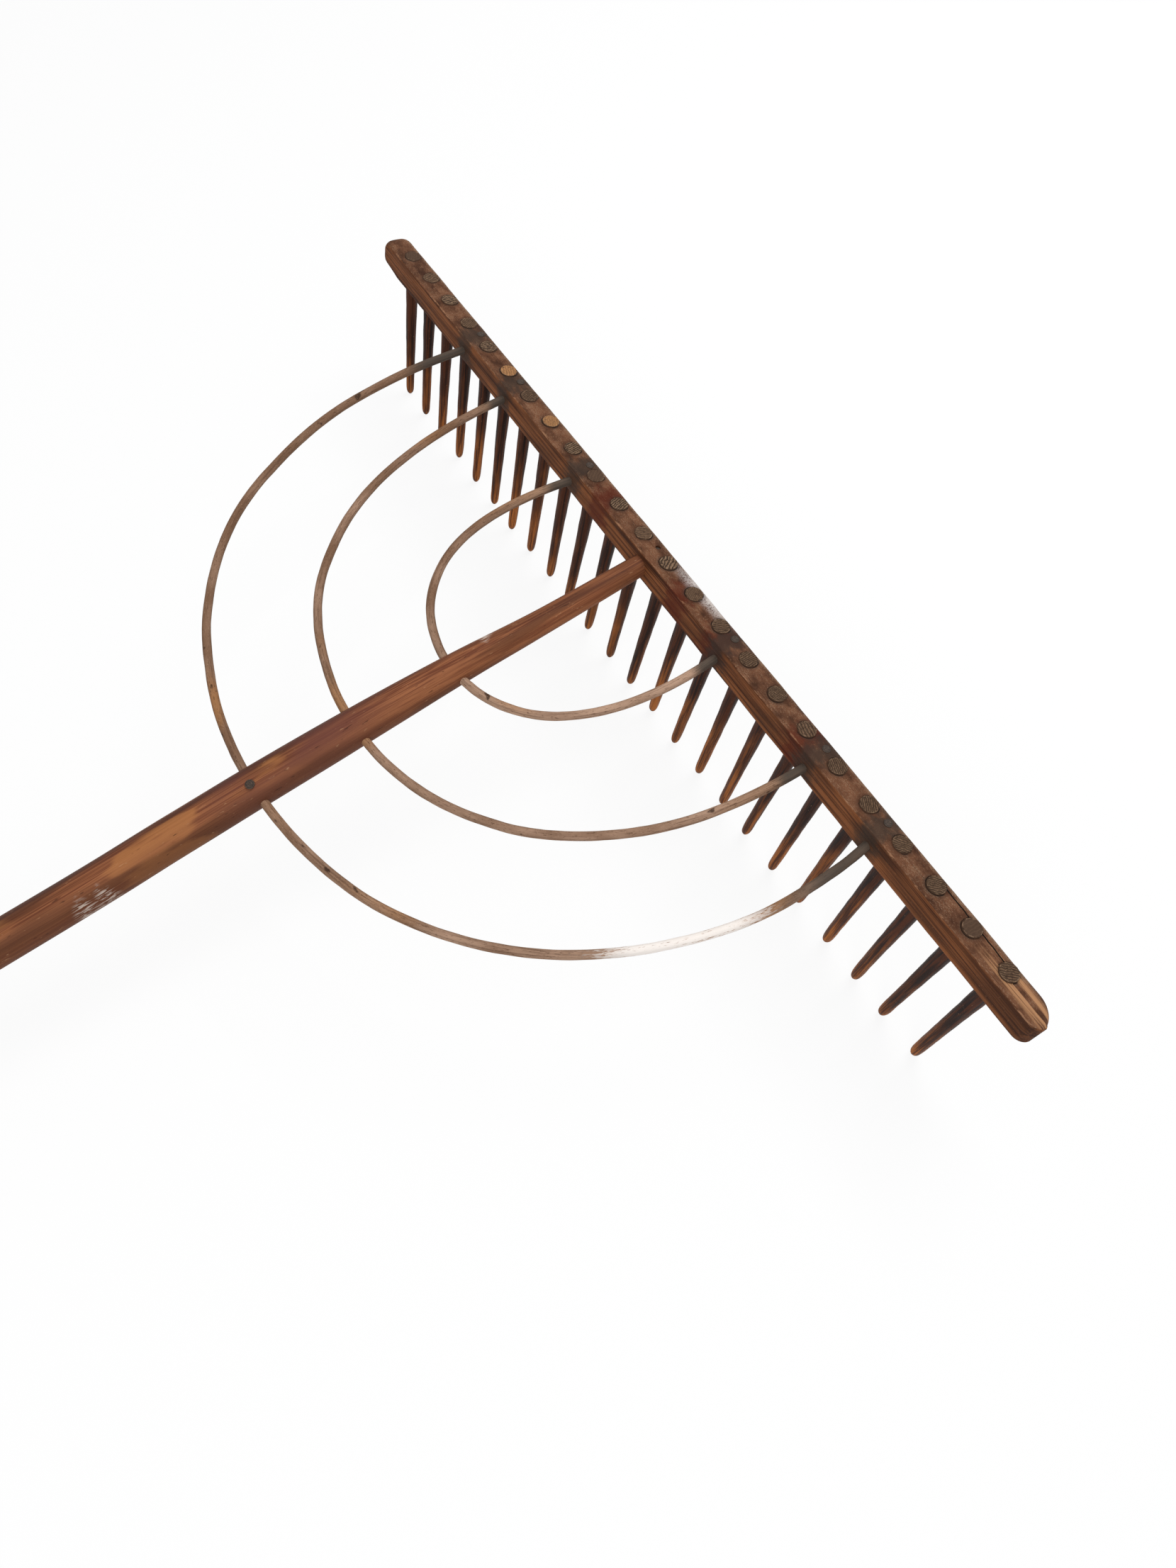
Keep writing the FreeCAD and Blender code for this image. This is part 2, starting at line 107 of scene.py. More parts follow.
class NodeSheet:
    """A node tree that is filled in from Python."""

    def __init__(self, tree: bpy.types.NodeTree) -> None:
        """Keep the tree that the nodes go to."""
        self.tree = tree

    @classmethod
    def emptied(cls, owner: Union[Material, bpy.types.World]) -> "NodeSheet":
        """Empty the tree of a material or a world.

        Args:
            owner: What the tree belongs to.

        Returns:
            The tree, ready to be filled in.
        """
        owner.use_nodes = True
        owner.node_tree.nodes.clear()
        return cls(owner.node_tree)

    @staticmethod
    def _socket(sockets: Any, key: Key) -> bpy.types.NodeSocket:
        """Find a socket by its number, its identifier or its name."""
        known = {socket.identifier: socket for socket in sockets}
        return known[key] if key in known else sockets[key]

    def add(
        self,
        kind: str,
        settings: dict[str, Any] | None = None,
        inputs: dict[Key, Plug] | None = None,
        output: Key = 0,
    ) -> Wire:
        """Add one node.

        Args:
            kind: The node's type.
            settings: Its settings, made before its sockets are filled.
            inputs: A value or a wire for each socket that is used.
            output: The output that the wire is taken from.

        Returns:
            The wire from that output.
        """
        node = self.tree.nodes.new(kind)
        for name, value in (settings or {}).items():
            setattr(node, name, value)
        for key, value in (inputs or {}).items():
            socket = self._socket(node.inputs, key)
            if isinstance(value, Wire):
                self.tree.links.new(value.socket, socket)
            else:
                socket.default_value = value
        return Wire(self, self._socket(node.outputs, output))

    def outputs(self, wire: Wire, key: Key) -> Wire:
        """Another output of the node that a wire comes from."""
        return Wire(self, self._socket(wire.socket.node.outputs, key))

    def end(self, kind: str, wire: Wire) -> None:
        """Join a wire to the tree's last node."""
        self.tree.links.new(wire.socket, self.tree.nodes.new(kind).inputs[0])

    def vector(self, x: Plug, y: Plug, z: Plug) -> Wire:
        """Three values as one vector."""
        return self.add("ShaderNodeCombineXYZ", None, {0: x, 1: y, 2: z})

    def parts(self, vector: Wire) -> tuple[Wire, Wire, Wire]:
        """A vector's three values."""
        split = self.add("ShaderNodeSeparateXYZ", None, {0: vector})
        return split, self.outputs(split, 1), self.outputs(split, 2)

    def vector_math(self, operation: str, first: Plug, second: Plug) -> Wire:
        """A Vector Math node on two vectors."""
        return self.add("ShaderNodeVectorMath", {"operation": operation}, {0: first, 1: second})

    def curve(self, value: Plug, points: Pairs) -> Wire:
        """Read a value off a curve.

        Args:
            value: Where on the curve, from 0 to 1.
            points: The curve's points.

        Returns:
            The curve's value there.
        """
        read = self.add("ShaderNodeFloatCurve", None, {"Value": value})
        mapping = read.socket.node.mapping
        curve = mapping.curves[0]
        while len(curve.points) < len(points):
            curve.points.new(0.5, 0.5)
        for point, place in zip(curve.points, points):
            point.location = place
        mapping.update()
        return read

    def step(self, value: Plug, low: float, high: float) -> Wire:
        """A soft step.

        Args:
            value: What is looked at.
            low: Where the step is 0; it may be the larger.
            high: Where the step is 1.

        Returns:
            A value from 0 to 1.
        """
        ends = {0: value, 1: min(low, high), 2: max(low, high)}
        rise = self.add("ShaderNodeMapRange", {"interpolation_type": "SMOOTHSTEP"}, ends)
        return rise if low <= high else 1 - rise

    def noise(self, place: Plug, detail: float = 2.0, roughness: float = 0.5, output: Key = 0) -> Wire:
        """Noise from 0 to 1 at a place."""
        inputs = {"Vector": place, "Scale": 1.0, "Detail": detail, "Roughness": roughness}
        return self.add("ShaderNodeTexNoise", None, inputs, output)

    def mix(self, factor: Plug, first: Plug, second: Plug) -> Wire:
        """Two colours blended by a factor."""
        inputs = {"Factor_Float": factor, "A_Color": opaque(first), "B_Color": opaque(second)}
        return self.add("ShaderNodeMix", {"data_type": "RGBA"}, inputs, "Result_Color")

    def coats(self, colour: Wire, *coats: tuple[Plug, Plug]) -> Wire:
        """Lay coats over a colour.

        Args:
            colour: The colour underneath.
            coats: For each coat its factor and its colour.

        Returns:
            The colour with all its coats.
        """
        for factor, coat in coats:
            colour = self.mix(factor, colour, coat)
        return colour


# -------------------------------------------------------------------- frames
@dataclass(frozen=True)
class RakeFrames:
    """The frames that the pieces are built in.

    In the head's frame X runs along the head, Z is the way out of its top face
    and Y points to its back. In the bows' frame Z runs straight out from the
    head in the plane of the bows, and Y points up. The handle's frame is the
    same, turned in that plane so that Z runs out along the handle.
    """

    head: Matrix
    bow: Matrix
    handle: Matrix

    @classmethod
    def from_record(cls, record: dict[str, Any], bar: "HeadBar") -> "RakeFrames":
        """Work the frames out from the record's mounts.

        Args:
            record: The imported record.
            bar: The head, for its depth and the height of its mortise.

        Returns:
            The frames, in the row frame.
        """
        mounts = {mount["name"]: mount for mount in record["mounts"]}
        back = Vector(mounts["head_back"]["axis"])
        along = Vector((1, 0, 0))
        up = along.cross(back)
        face = Vector(mounts["head_back"]["pos_m"])
        head = Matrix((along, back, up)).transposed().to_4x4()
        head.translation = face - back * bar.depth / 2 + up * bar.height * bar.back_mount_share
        out = Vector(mounts["grip"]["axis"])
        square = (out - along * out.dot(along)).normalized()
        lift = square.cross(along)
        socket = Matrix.Translation(head @ Vector((0, -bar.depth / 2, -bar.mortise_drop)))
        bow = socket @ Matrix((along, lift, square)).transposed().to_4x4()
        handle = socket @ Matrix((lift.cross(out), lift, out)).transposed().to_4x4()
        return cls(head, bow, handle)


# ------------------------------------------------------------------ finishes
class Finish:
    """A material under way, and where on the piece its patterns are read."""

    def __init__(self, name: str) -> None:
        """Start a material with an empty tree."""
        self.material = bpy.data.materials.new(name)
        self.sheet = NodeSheet.emptied(self.material)
        self.place = self.attribute("grain", "Vector")

    def attribute(self, name: str, output: str = "Fac") -> Wire:
        """A value kept on the mesh."""
        return self.sheet.add("ShaderNodeAttribute", {"attribute_name": name}, None, output)

    def shift(self, x: Plug, y: Plug, z: Plug) -> None:
        """Read the patterns elsewhere, so that each piece has its own."""
        self.place = self.sheet.vector_math("ADD", self.place, self.sheet.vector(x, y, z))

    def noise(self, scale: Colour, detail: float, roughness: float, shift: Colour | None = None) -> Wire:
        """Noise from 0 to 1, stretched by three scales."""
        place = self.sheet.vector_math("MULTIPLY", self.place, scale)
        return self.sheet.noise(self.sheet.vector_math("ADD", place, shift) if shift else place, detail, roughness)

    def finish(
        self, colour: Wire, roughness: Plug, height: Wire, depth: float, specular: float, metallic: float = 0.0
    ) -> Material:
        """Join the surface shader up.

        Args:
            colour: The base colour.
            roughness: The roughness.
            height: Height of the relief, from 0 to 1.
            depth: How deep the relief is, in metres.
            specular: How strong the plain reflection is.
            metallic: How metallic the surface is.

        Returns:
            The finished material.
        """
        relief = self.sheet.add("ShaderNodeBump", None, {"Strength": 1.0, "Distance": depth, "Height": height})
        inputs = {"Base Color": colour, "Roughness": roughness, "Normal": relief}
        inputs.update({"Specular IOR Level": specular, "Metallic": metallic})
        self.sheet.end("ShaderNodeOutputMaterial", self.sheet.add("ShaderNodeBsdfPrincipled", None, inputs))
        return self.material


@dataclass(frozen=True)
class HeadFinish:
    """Dusty old hardwood: red-brown grain in front, grey-brown on top."""

    pitch: float
    tine_count: int
    tine_radius: float
    bar_depth: float
    iron_places: tuple[float, ...]
    front_light: Colour = (0.225, 0.080, 0.029)
    front_dark: Colour = (0.036, 0.011, 0.005)
    deep_red: Colour = (0.075, 0.010, 0.004)
    top_brown: Colour = (0.165, 0.070, 0.036)
    top_dark: Colour = (0.044, 0.018, 0.010)
    dust: Colour = (0.27, 0.18, 0.115)
    frost: Colour = (0.62, 0.57, 0.54)
    pale_split: Colour = (0.42, 0.215, 0.105)
    iron_stain: Colour = (0.036, 0.026, 0.020)
    # Pale worn wood; along the front-top edge it is also a painted highlight.
    worn_edge_and_highlight: Colour = (0.34, 0.175, 0.095)
    # Dark joint round each peg, partly painted shade where the peg meets the head.
    rim_gap_and_shade: Colour = (0.012, 0.008, 0.006)
    crack_dark: Colour = (0.006, 0.004, 0.003)
    red_places: tuple[float, ...] = (-0.066, 0.052, 0.105, 0.215)
    red_size: float = 0.020
    iron_size: float = 0.017
    frost_place: float = 0.060

    @property
    def last_peg(self) -> float:
        """Where the last peg stands."""
        return self.pitch * (self.tine_count - 1) / 2

    def make(self) -> Material:
        """Build the head's material.

        Returns:
            The material.
        """
        work = Finish("head_wood_aged")
        sheet, step, field = work.sheet, work.sheet.step, work.noise
        x, y, z = sheet.parts(work.place)
        _, back, up = sheet.parts(work.attribute("facing", "Vector"))
        top, front = step(up, 0.35, 0.85), step(back, -0.5, -0.9)
        rear = step(y, 0.001, 0.012) * top
        broad = field((13, 45, 45), 2, 0.5)
        streaks = field((5, 240, 240), 3, 0.62)
        lines = field((7, 900, 900), 2, 0.5, (3.1, 0, 0))
        mottle = field((60, 90, 90), 4, 0.62)
        fleck = field((700, 1300, 1300), 2, 0.6)
        chips = field((90, 400, 400), 3, 0.7)
        grain = streaks * 0.6 + lines * 0.4
        shade = mottle * 0.7 + broad * 0.3
        front_wood = sheet.coats(
            sheet.mix(step(grain, 0.38, 0.60), self.front_dark, self.front_light),
            (step(broad, 0.44, 0.66) * 0.6, self.top_dark),
        )
        top_wood = sheet.coats(
            sheet.mix(step(shade, 0.31, 0.64), self.top_dark, self.top_brown),
            (step(lines, 0.54, 0.68) * 0.45, self.top_dark),
            (step(fleck + mottle * 0.6, 0.82, 1.02) * 0.45, self.dust),
            (step(fleck * 0.6 + shade * 0.5 + rear * 0.22, 0.62, 0.86) * rear * 0.8, self.dust),
        )
        frosted = step(abs(x - self.frost_place), 0.050, 0.010) * step(y, -0.004, 0.008) * step(up, 0.0, 0.4)
        frosted = frosted * step(fleck * 0.7 + mottle * 0.5, 0.46, 0.64)
        # Pale line along the front-top edge: partly worn wood, partly a painted highlight.
        edge_gap = (y + self.bar_depth / 2).call("POWER", 2) + z * z
        edge = step(edge_gap.call("SQRT"), 0.0015, 0.0005) * step(chips, 0.50, 0.66)
        under = step(abs(z + 0.0034), 0.0020, 0.0004) * front * step(broad, 0.40, 0.60)
        peg, rim = self.peg_marks(sheet, x, y, mottle)
        crack = self.crack(work, x, y) * top
        wood = sheet.coats(
            sheet.mix(top, front_wood, top_wood),
            (self.blots(work, x, self.red_places, self.red_size) * 0.7, self.deep_red),
            (frosted * 0.85, self.frost),
            (step(fleck, 0.66, 0.74) * 0.4, self.worn_edge_and_highlight),
            # Painted highlight along the front-top edge, partly real wear.
            (edge * 0.75, self.worn_edge_and_highlight),
            (under * 0.55, self.front_dark),
            (self.blots(work, x, self.iron_places, self.iron_size) * 0.75, self.iron_stain),
            (peg * top * 0.6, self.iron_stain),
            # Dark ring against each peg: a dark joint and partly painted shade.
            (rim * top * 0.9, self.rim_gap_and_shade),
            (self.split_end(work, x, y) * top, self.pale_split),
            (crack, self.crack_dark),
        )
        height = grain * (0.5 + front * 0.4) + fleck * 0.35 + mottle * 0.4 - rim * top * 0.8 - crack * 2.5
        return work.finish(wood, 0.66 + fleck * 0.28 - front * 0.12, height, 0.0008, 0.07)

    def blots(self, work: Finish, x: Wire, centres: Sequence[float], size: float) -> Wire:
        """Blots with ragged edges on both seen sides, at places along the bar.

        Args:
            work: The material.
            x: Where along the bar.
            centres: Where the blots are.
            size: How far each one reaches, in metres.

        Returns:
            A value from 0 to 1.
        """
        wander = work.noise((90, 150, 150), 3, 0.6)
        total: Plug = 0.0
        for centre in centres:
            total = work.sheet.step(abs(x - centre) + (wander - 0.5) * size * 1.8, size, size * 0.25) + total
        return total.call("MINIMUM", 1.0)

    def peg_marks(self, sheet: NodeSheet, x: Wire, y: Wire, mottle: Wire) -> tuple[Wire, Wire]:
        """Soft dirt round each peg's top, and the uneven dark gap at its rim, which is partly painted shade where
        the peg meets the head.

        Args:
            sheet: The tree to add to.
            x: Where along the bar.
            y: Where across it.
            mottle: Noise that breaks the marks up.

        Returns:
            The dirt, and the gap with its painted shade, from 0 to 1.
        """
        half = self.pitch / 2
        within = (x + self.last_peg + half).call("FLOORED_MODULO", self.pitch) - half
        row = abs(x).call("LESS_THAN", self.last_peg + half)
        radius = (within * within + y * y).call("SQRT")
        soft = sheet.step(radius, self.tine_radius + 0.0040, self.tine_radius) * row
        gap = radius - self.tine_radius - 0.0001
        rim = sheet.step(abs(gap), 0.0006, 0.0002) * sheet.step(mottle, 0.38, 0.56) * row
        return soft * sheet.step(mottle, 0.36, 0.6), rim

    def split_end(self, work: Finish, x: Wire, y: Wire) -> Wire:
        """Pale strips split off the top at the square end.

        Args:
            work: The material.
            x: Where along the bar.
            y: Where across it.

        Returns:
            A value from 0 to 1.
        """
        strips = work.noise((12, 420, 1), 2, 0.5, (0, 4.0, 0))
        beyond = work.sheet.step(x, self.last_peg - 0.034, self.last_peg + 0.004)
        middle = work.sheet.step(abs(y + 0.002), 0.0105, 0.0045)
        return work.sheet.step(strips, 0.44, 0.60) * beyond * middle * 0.9

    def crack(self, work: Finish, x: Wire, y: Wire) -> Wire:
        """The drying crack between the last three pegs.

        Args:
            work: The material.
            x: Where along the bar.
            y: Where across it.

        Returns:
            A value from 0 to 1.
        """
        step = work.sheet.step
        start = self.last_peg - 2 * self.pitch
        wander = (work.noise((90, 1, 1), 2, 0.6) - 0.5) * 0.0022
        line = 0.0055 + (x - start) * -0.035
        span = step(x, start - 0.001, start + 0.004) * step(x, self.last_peg + 0.004, self.last_peg - 0.002)
        return step(abs(y - line - wander), 0.0007, 0.0003) * span


@dataclass(frozen=True)
class TineFinish:
    """Oiled pegs, near black at the head, which is partly painted shade under the head, and orange at the worn tips.
    """

    deep: Colour = (0.012, 0.0035, 0.0016)
    body: Colour = (0.068, 0.019, 0.0065)
    tip: Colour = (0.35, 0.115, 0.026)
    speck: Colour = (0.40, 0.22, 0.11)
    end_dark: Colour = (0.078, 0.044, 0.027)
    # Pale end grain, also a painted highlight round the top's edge.
    end_pale_and_rim_highlight: Colour = (0.31, 0.200, 0.125)
    end_orange: Colour = (0.43, 0.205, 0.080)
    # Dark saw grooves, also painted shade round the top's edge.
    end_groove_and_rim_shade: Colour = (0.024, 0.014, 0.009)

    def make(self) -> Material:
        """Build the tines' material.

        Returns:
            The material.
        """
        work = Finish("tine_wood_oiled")
        sheet, step, field = work.sheet, work.sheet.step, work.noise
        seed, along, end = map(work.attribute, ("seed", "along", "end_face"))
        pale, orange, saw_depth, saw_angle = map(work.attribute, ("paleness", "orange", "saw_depth", "saw_angle"))
        x, y, z = sheet.parts(work.place)
        work.shift(seed * 3.1, seed * 1.7, seed * 5.3)
        streaks = field((420, 420, 14), 3, 0.6)
        fine = field((1700, 1700, 40), 2, 0.5)
        patch = field((80, 80, 24), 2, 0.5)
        waver = field((260, 260, 10), 3, 0.6)
        blotch = field((330, 330, 10), 3, 0.7)
        # Lighter towards the worn tips; the darker wood towards the head is partly painted shade under the head.
        wear = step(along + (patch - 0.5) * 0.8 + (seed - 0.5) * 0.25, 0.40, 1.04)
        side_wood = sheet.coats(
            sheet.mix(step(streaks, 0.36, 0.62), self.deep, self.body),
            (wear, sheet.mix(step(streaks * 0.8 + fine * 0.3, 0.44, 0.66), self.body, self.tip)),
            (step(field((800, 800, 450), 2, 0.6), 0.70, 0.77) * 0.5, self.speck),
            (step(z, -0.0006, 0.0002) * 0.8, self.end_dark),
        )
        across = x * saw_angle.call("COSINE") + y * saw_angle.call("SINE")
        saw = (across * (2300 + seed * 1900) + waver * 11.0).call("SINE") * 0.5 + 0.5
        radius = (x * x + y * y).call("SQRT")
        rim = step(radius + (blotch - 0.5) * 0.002, 0.0066, 0.0076)
        end_wood = sheet.coats(
            sheet.mix(pale * step(blotch, 0.30, 0.62), self.end_dark, self.end_pale_and_rim_highlight),
            (orange * step(blotch, 0.22, 0.5), self.end_orange),
            (step(saw, 0.75, 0.25) * saw_depth * 0.85, self.end_groove_and_rim_shade),
            (step(blotch, 0.50, 0.66) * 0.6, self.end_dark),
            # Round the top's edge: the pale band is a painted highlight, the dark band painted shade.
            (rim * step(waver, 0.46, 0.6) * 0.6, self.end_pale_and_rim_highlight),
            (rim * step(waver, 0.52, 0.38) * 0.8, self.end_groove_and_rim_shade),
        )
        side_height = streaks * 0.7 + fine * 0.3
        end_height = saw * saw_depth * 1.4 + blotch * 0.6
        height = side_height + (end_height - side_height) * end
        rough = 0.34 + streaks * 0.3 + end * 0.3
        return work.finish(sheet.mix(end, side_wood, end_wood), rough, height, 0.0007, 0.10)


@dataclass(frozen=True)
class BowFinish:
    """Weathered bent rods: beige grey-brown, darker by the head."""

    light: Colour = (0.44, 0.285, 0.200)
    brown: Colour = (0.170, 0.092, 0.053)
    bark: Colour = (0.075, 0.036, 0.020)
    stain: Colour = (0.064, 0.051, 0.041)
    orange: Colour = (0.38, 0.175, 0.062)
    knot: Colour = (0.030, 0.014, 0.008)
    bare: Colour = (0.86, 0.80, 0.75)

    def make(self) -> Material:
        """Build the bows' material.

        Returns:
            The material.
        """
        work = Finish("bow_wood_weathered")
        sheet, step, field = work.sheet, work.sheet.step, work.noise
        foot, worn, tone, seed = map(work.attribute, ("foot_gap", "worn", "tone", "seed"))
        work.shift(seed * 2.3, 0.0, seed * 4.1)
        streaks = field((600, 600, 18), 3, 0.6)
        patches = field((60, 60, 20), 3, 0.6)
        flecks = field((1300, 1300, 260), 2, 0.6)
        rings = field((110, 110, 75), 2, 0.5, (0, 9.0, 0))
        tan = field((25, 25, 9), 1, 0.5, (5.0, 2.0, 0))
        motes = field((1500, 1500, 900), 2, 0.6, (0, 0, 4.0))
        near = step(foot + (patches - 0.5) * 0.5, 1.15, 0.55)
        peeled = step(streaks * 0.7 + flecks * 0.5 + worn * 0.3, 0.70, 0.84)
        wood = sheet.coats(
            sheet.mix(step(patches * 0.6 + tone * 0.6, 0.30, 0.78), self.brown, self.light),
            (step(tan, 0.52, 0.66) * (1 - tone) * 0.75, self.orange),
            (step(streaks, 0.5, 0.68) * 0.5, self.bark),
            (step(flecks, 0.58, 0.68) * 0.7, self.bark),
            (step(rings, 0.68, 0.75) * 0.85, self.knot),
            (step(motes, 0.62, 0.72) * 0.6, self.light),
            (near * (0.65 + streaks * 0.5), self.stain),
            (worn * peeled * 0.95, self.bare),
        )
        height = streaks * 0.7 + flecks * 0.4 + rings * 0.4
        return work.finish(wood, 0.66 + flecks * 0.2 - worn * 0.2, height, 0.0004, 0.08)


@dataclass(frozen=True)
class HandleFinish:
    """Hand-worn red-brown handle with rubbed patches and white scuffs."""

    light: Colour = (0.275, 0.103, 0.044)
    red: Colour = (0.125, 0.037, 0.017)
    dark: Colour = (0.040, 0.013, 0.007)
    orange: Colour = (0.36, 0.145, 0.050)
    fleck: Colour = (0.46, 0.26, 0.14)
    scuff: Colour = (0.70, 0.60, 0.52)
    purple: Colour = (0.120, 0.040, 0.030)
    rubbed_from: float = 0.412
    rubbed_to: float = 0.488
    rubbed_fade: float = 0.02
    scuffs: Pairs = ((0.148, -0.008), (0.499, 0.017), (0.516, 0.017))

    def make(self) -> Material:
        """Build the handle's material.

        Returns:
            The material.
        """
        work = Finish("handle_wood_worn")
        sheet, step, field = work.sheet, work.sheet.step, work.noise
        x, _, z = sheet.parts(work.place)
        streaks = field((300, 300, 5), 3, 0.62)
        fine = field((1300, 1300, 14), 2, 0.55)
        broad = field((55, 55, 6), 2, 0.5)
        rubbed = field((40, 40, 9), 3, 0.6, (0, 0, 2.6))
        nicks = field((520, 520, 120), 2, 0.6)
        pits = field((420, 420, 90), 2, 0.5, (3.0, 0, 0))
        grain = streaks * 0.6 + fine * 0.4
        fade = self.rubbed_fade
        patch = step(z, self.rubbed_from - fade, self.rubbed_from + fade)
        patch = patch * step(z, self.rubbed_to + fade, self.rubbed_to - fade) * step(x, -0.012, 0.0)
        dusk = step(z, 0.22, 0.30) * step(z, 0.415, 0.37) * step(rubbed, 0.66, 0.46)
        neck = step(z + (broad - 0.5) * 0.03, 0.045, 0.012)
        scuffed: Plug = 0.0
        for along, across in self.scuffs:
            scuffed = step(abs(z - along) + abs(x - across) * 1.2, 0.013, 0.002) + scuffed
        wood = sheet.coats(
            sheet.mix(step(grain, 0.40, 0.60), self.red, self.light),
            (step(broad, 0.46, 0.62) * 0.6, self.dark),
            (step(rubbed + patch * 0.22, 0.60, 0.70) * 0.7, self.orange),
            (dusk * 0.75, self.purple),
            # Painted light on the +X side and painted shade on the -X side; the handle also goes darker near the
            # head end.
            (step(x, 0.002, 0.012) * 0.30, self.light),
            (step(x, 0.0, -0.012) * 0.40 + neck * 0.35, self.dark),
            # Painted shade along both edges of the handle.
            (step(abs(x) + (broad - 0.5) * 0.014, 0.010, 0.0155) * 0.45, self.dark),
            (step(nicks, 0.67, 0.76) * 0.45, self.fleck),
            (step(pits, 0.68, 0.74) * 0.7, self.dark),
            (scuffed * step(nicks * 0.6 + fine * 0.4, 0.47, 0.56) * 0.6, self.scuff),
        )
        height = grain * 0.7 + nicks * 0.3 - pits * 0.2
        return work.finish(wood, 0.46 + fine * 0.26, height, 0.0006, 0.10)


@dataclass(frozen=True)
class IronFinish:
    """Dark, dull iron with a little rust."""

    dark: Colour = (0.030, 0.021, 0.016)
    light: Colour = (0.085, 0.060, 0.045)
    rust: Colour = (0.10, 0.045, 0.024)
    groove: Colour = (0.02, 0.016, 0.013)
    groove_radius: float = 0.0027

    def make(self) -> Material:
        """Build the nails' material.

        Returns:
            The material.
        """
        work = Finish("nail_iron_dull")
        sheet, step = work.sheet, work.sheet.step
        x, y, _ = sheet.parts(work.place)
        radius = (x * x + y * y).call("SQRT")
        scale = work.noise((900, 900, 900), 4, 0.65)
        metal = sheet.coats(
            sheet.mix(step(scale, 0.38, 0.66), self.dark, self.light),
            (step(scale, 0.6, 0.75) * 0.5, self.rust),
            (step(abs(radius - self.groove_radius), 0.0006, 0.0001) * 0.6, self.groove),
        )
        return work.finish(metal, 0.55 + scale * 0.25, scale, 0.0003, 0.2, 0.15)


# -------------------------------------------------------------- mesh helpers
def new_object(name: str, mesh: Mesh) -> Piece:
    """Link a mesh into the scene as an object at the origin."""
    piece = bpy.data.objects.new(name, mesh)
    bpy.context.scene.collection.objects.link(piece)
    return piece


def plain_mesh(piece: Piece) -> Mesh:
    """The mesh that an object's modifiers end in.

    Args:
        piece: The object, with its modifiers live.

    Returns:
        A mesh of its own, with the attributes kept.
    """
    depsgraph = bpy.context.evaluated_depsgraph_get()
    result = piece.evaluated_get(depsgraph)
    return bpy.data.meshes.new_from_object(result, preserve_all_data_layers=True, depsgraph=depsgraph)


def point_mesh(places: Sequence[Vector] = (Vector(),), values: dict[str, Sequence[float]] | None = None) -> Mesh:
    """Loose points that carry values.

    Args:
        places: Where the points are.
        values: For each name, one value to a point.

    Returns:
        The mesh.
    """
    mesh = bpy.data.meshes.new("points")
    mesh.from_pydata([tuple(place) for place in places], [], [])
    for label, numbers in (values or {}).items():
        mesh.attributes.new(label, "FLOAT", "POINT").data.foreach_set("value", numbers)
    return mesh


def declare(piece: Piece, slot: str, *nodes: str) -> None:
    """Tie a finished piece to the CAD frame.

    Args:
        piece: The piece.
        slot: The record's material slot; not used.
        nodes: The CAD nodes that it stands for.
    """
    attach(piece, "root")
    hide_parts(*nodes)
    log.info("%s: %d faces for %d nodes", piece.name, len(piece.data.polygons), len(nodes))


def round_end(turns: Sequence[float], start: float, radius: float) -> Pairs:
    """A rounded end's profile, at turns in degrees from its side to its tip."""
    arc = [math.radians(turn) for turn in turns]
    return [(start + (1 - start) * math.sin(turn) / math.sin(arc[-1]), radius * math.cos(turn)) for turn in arc]


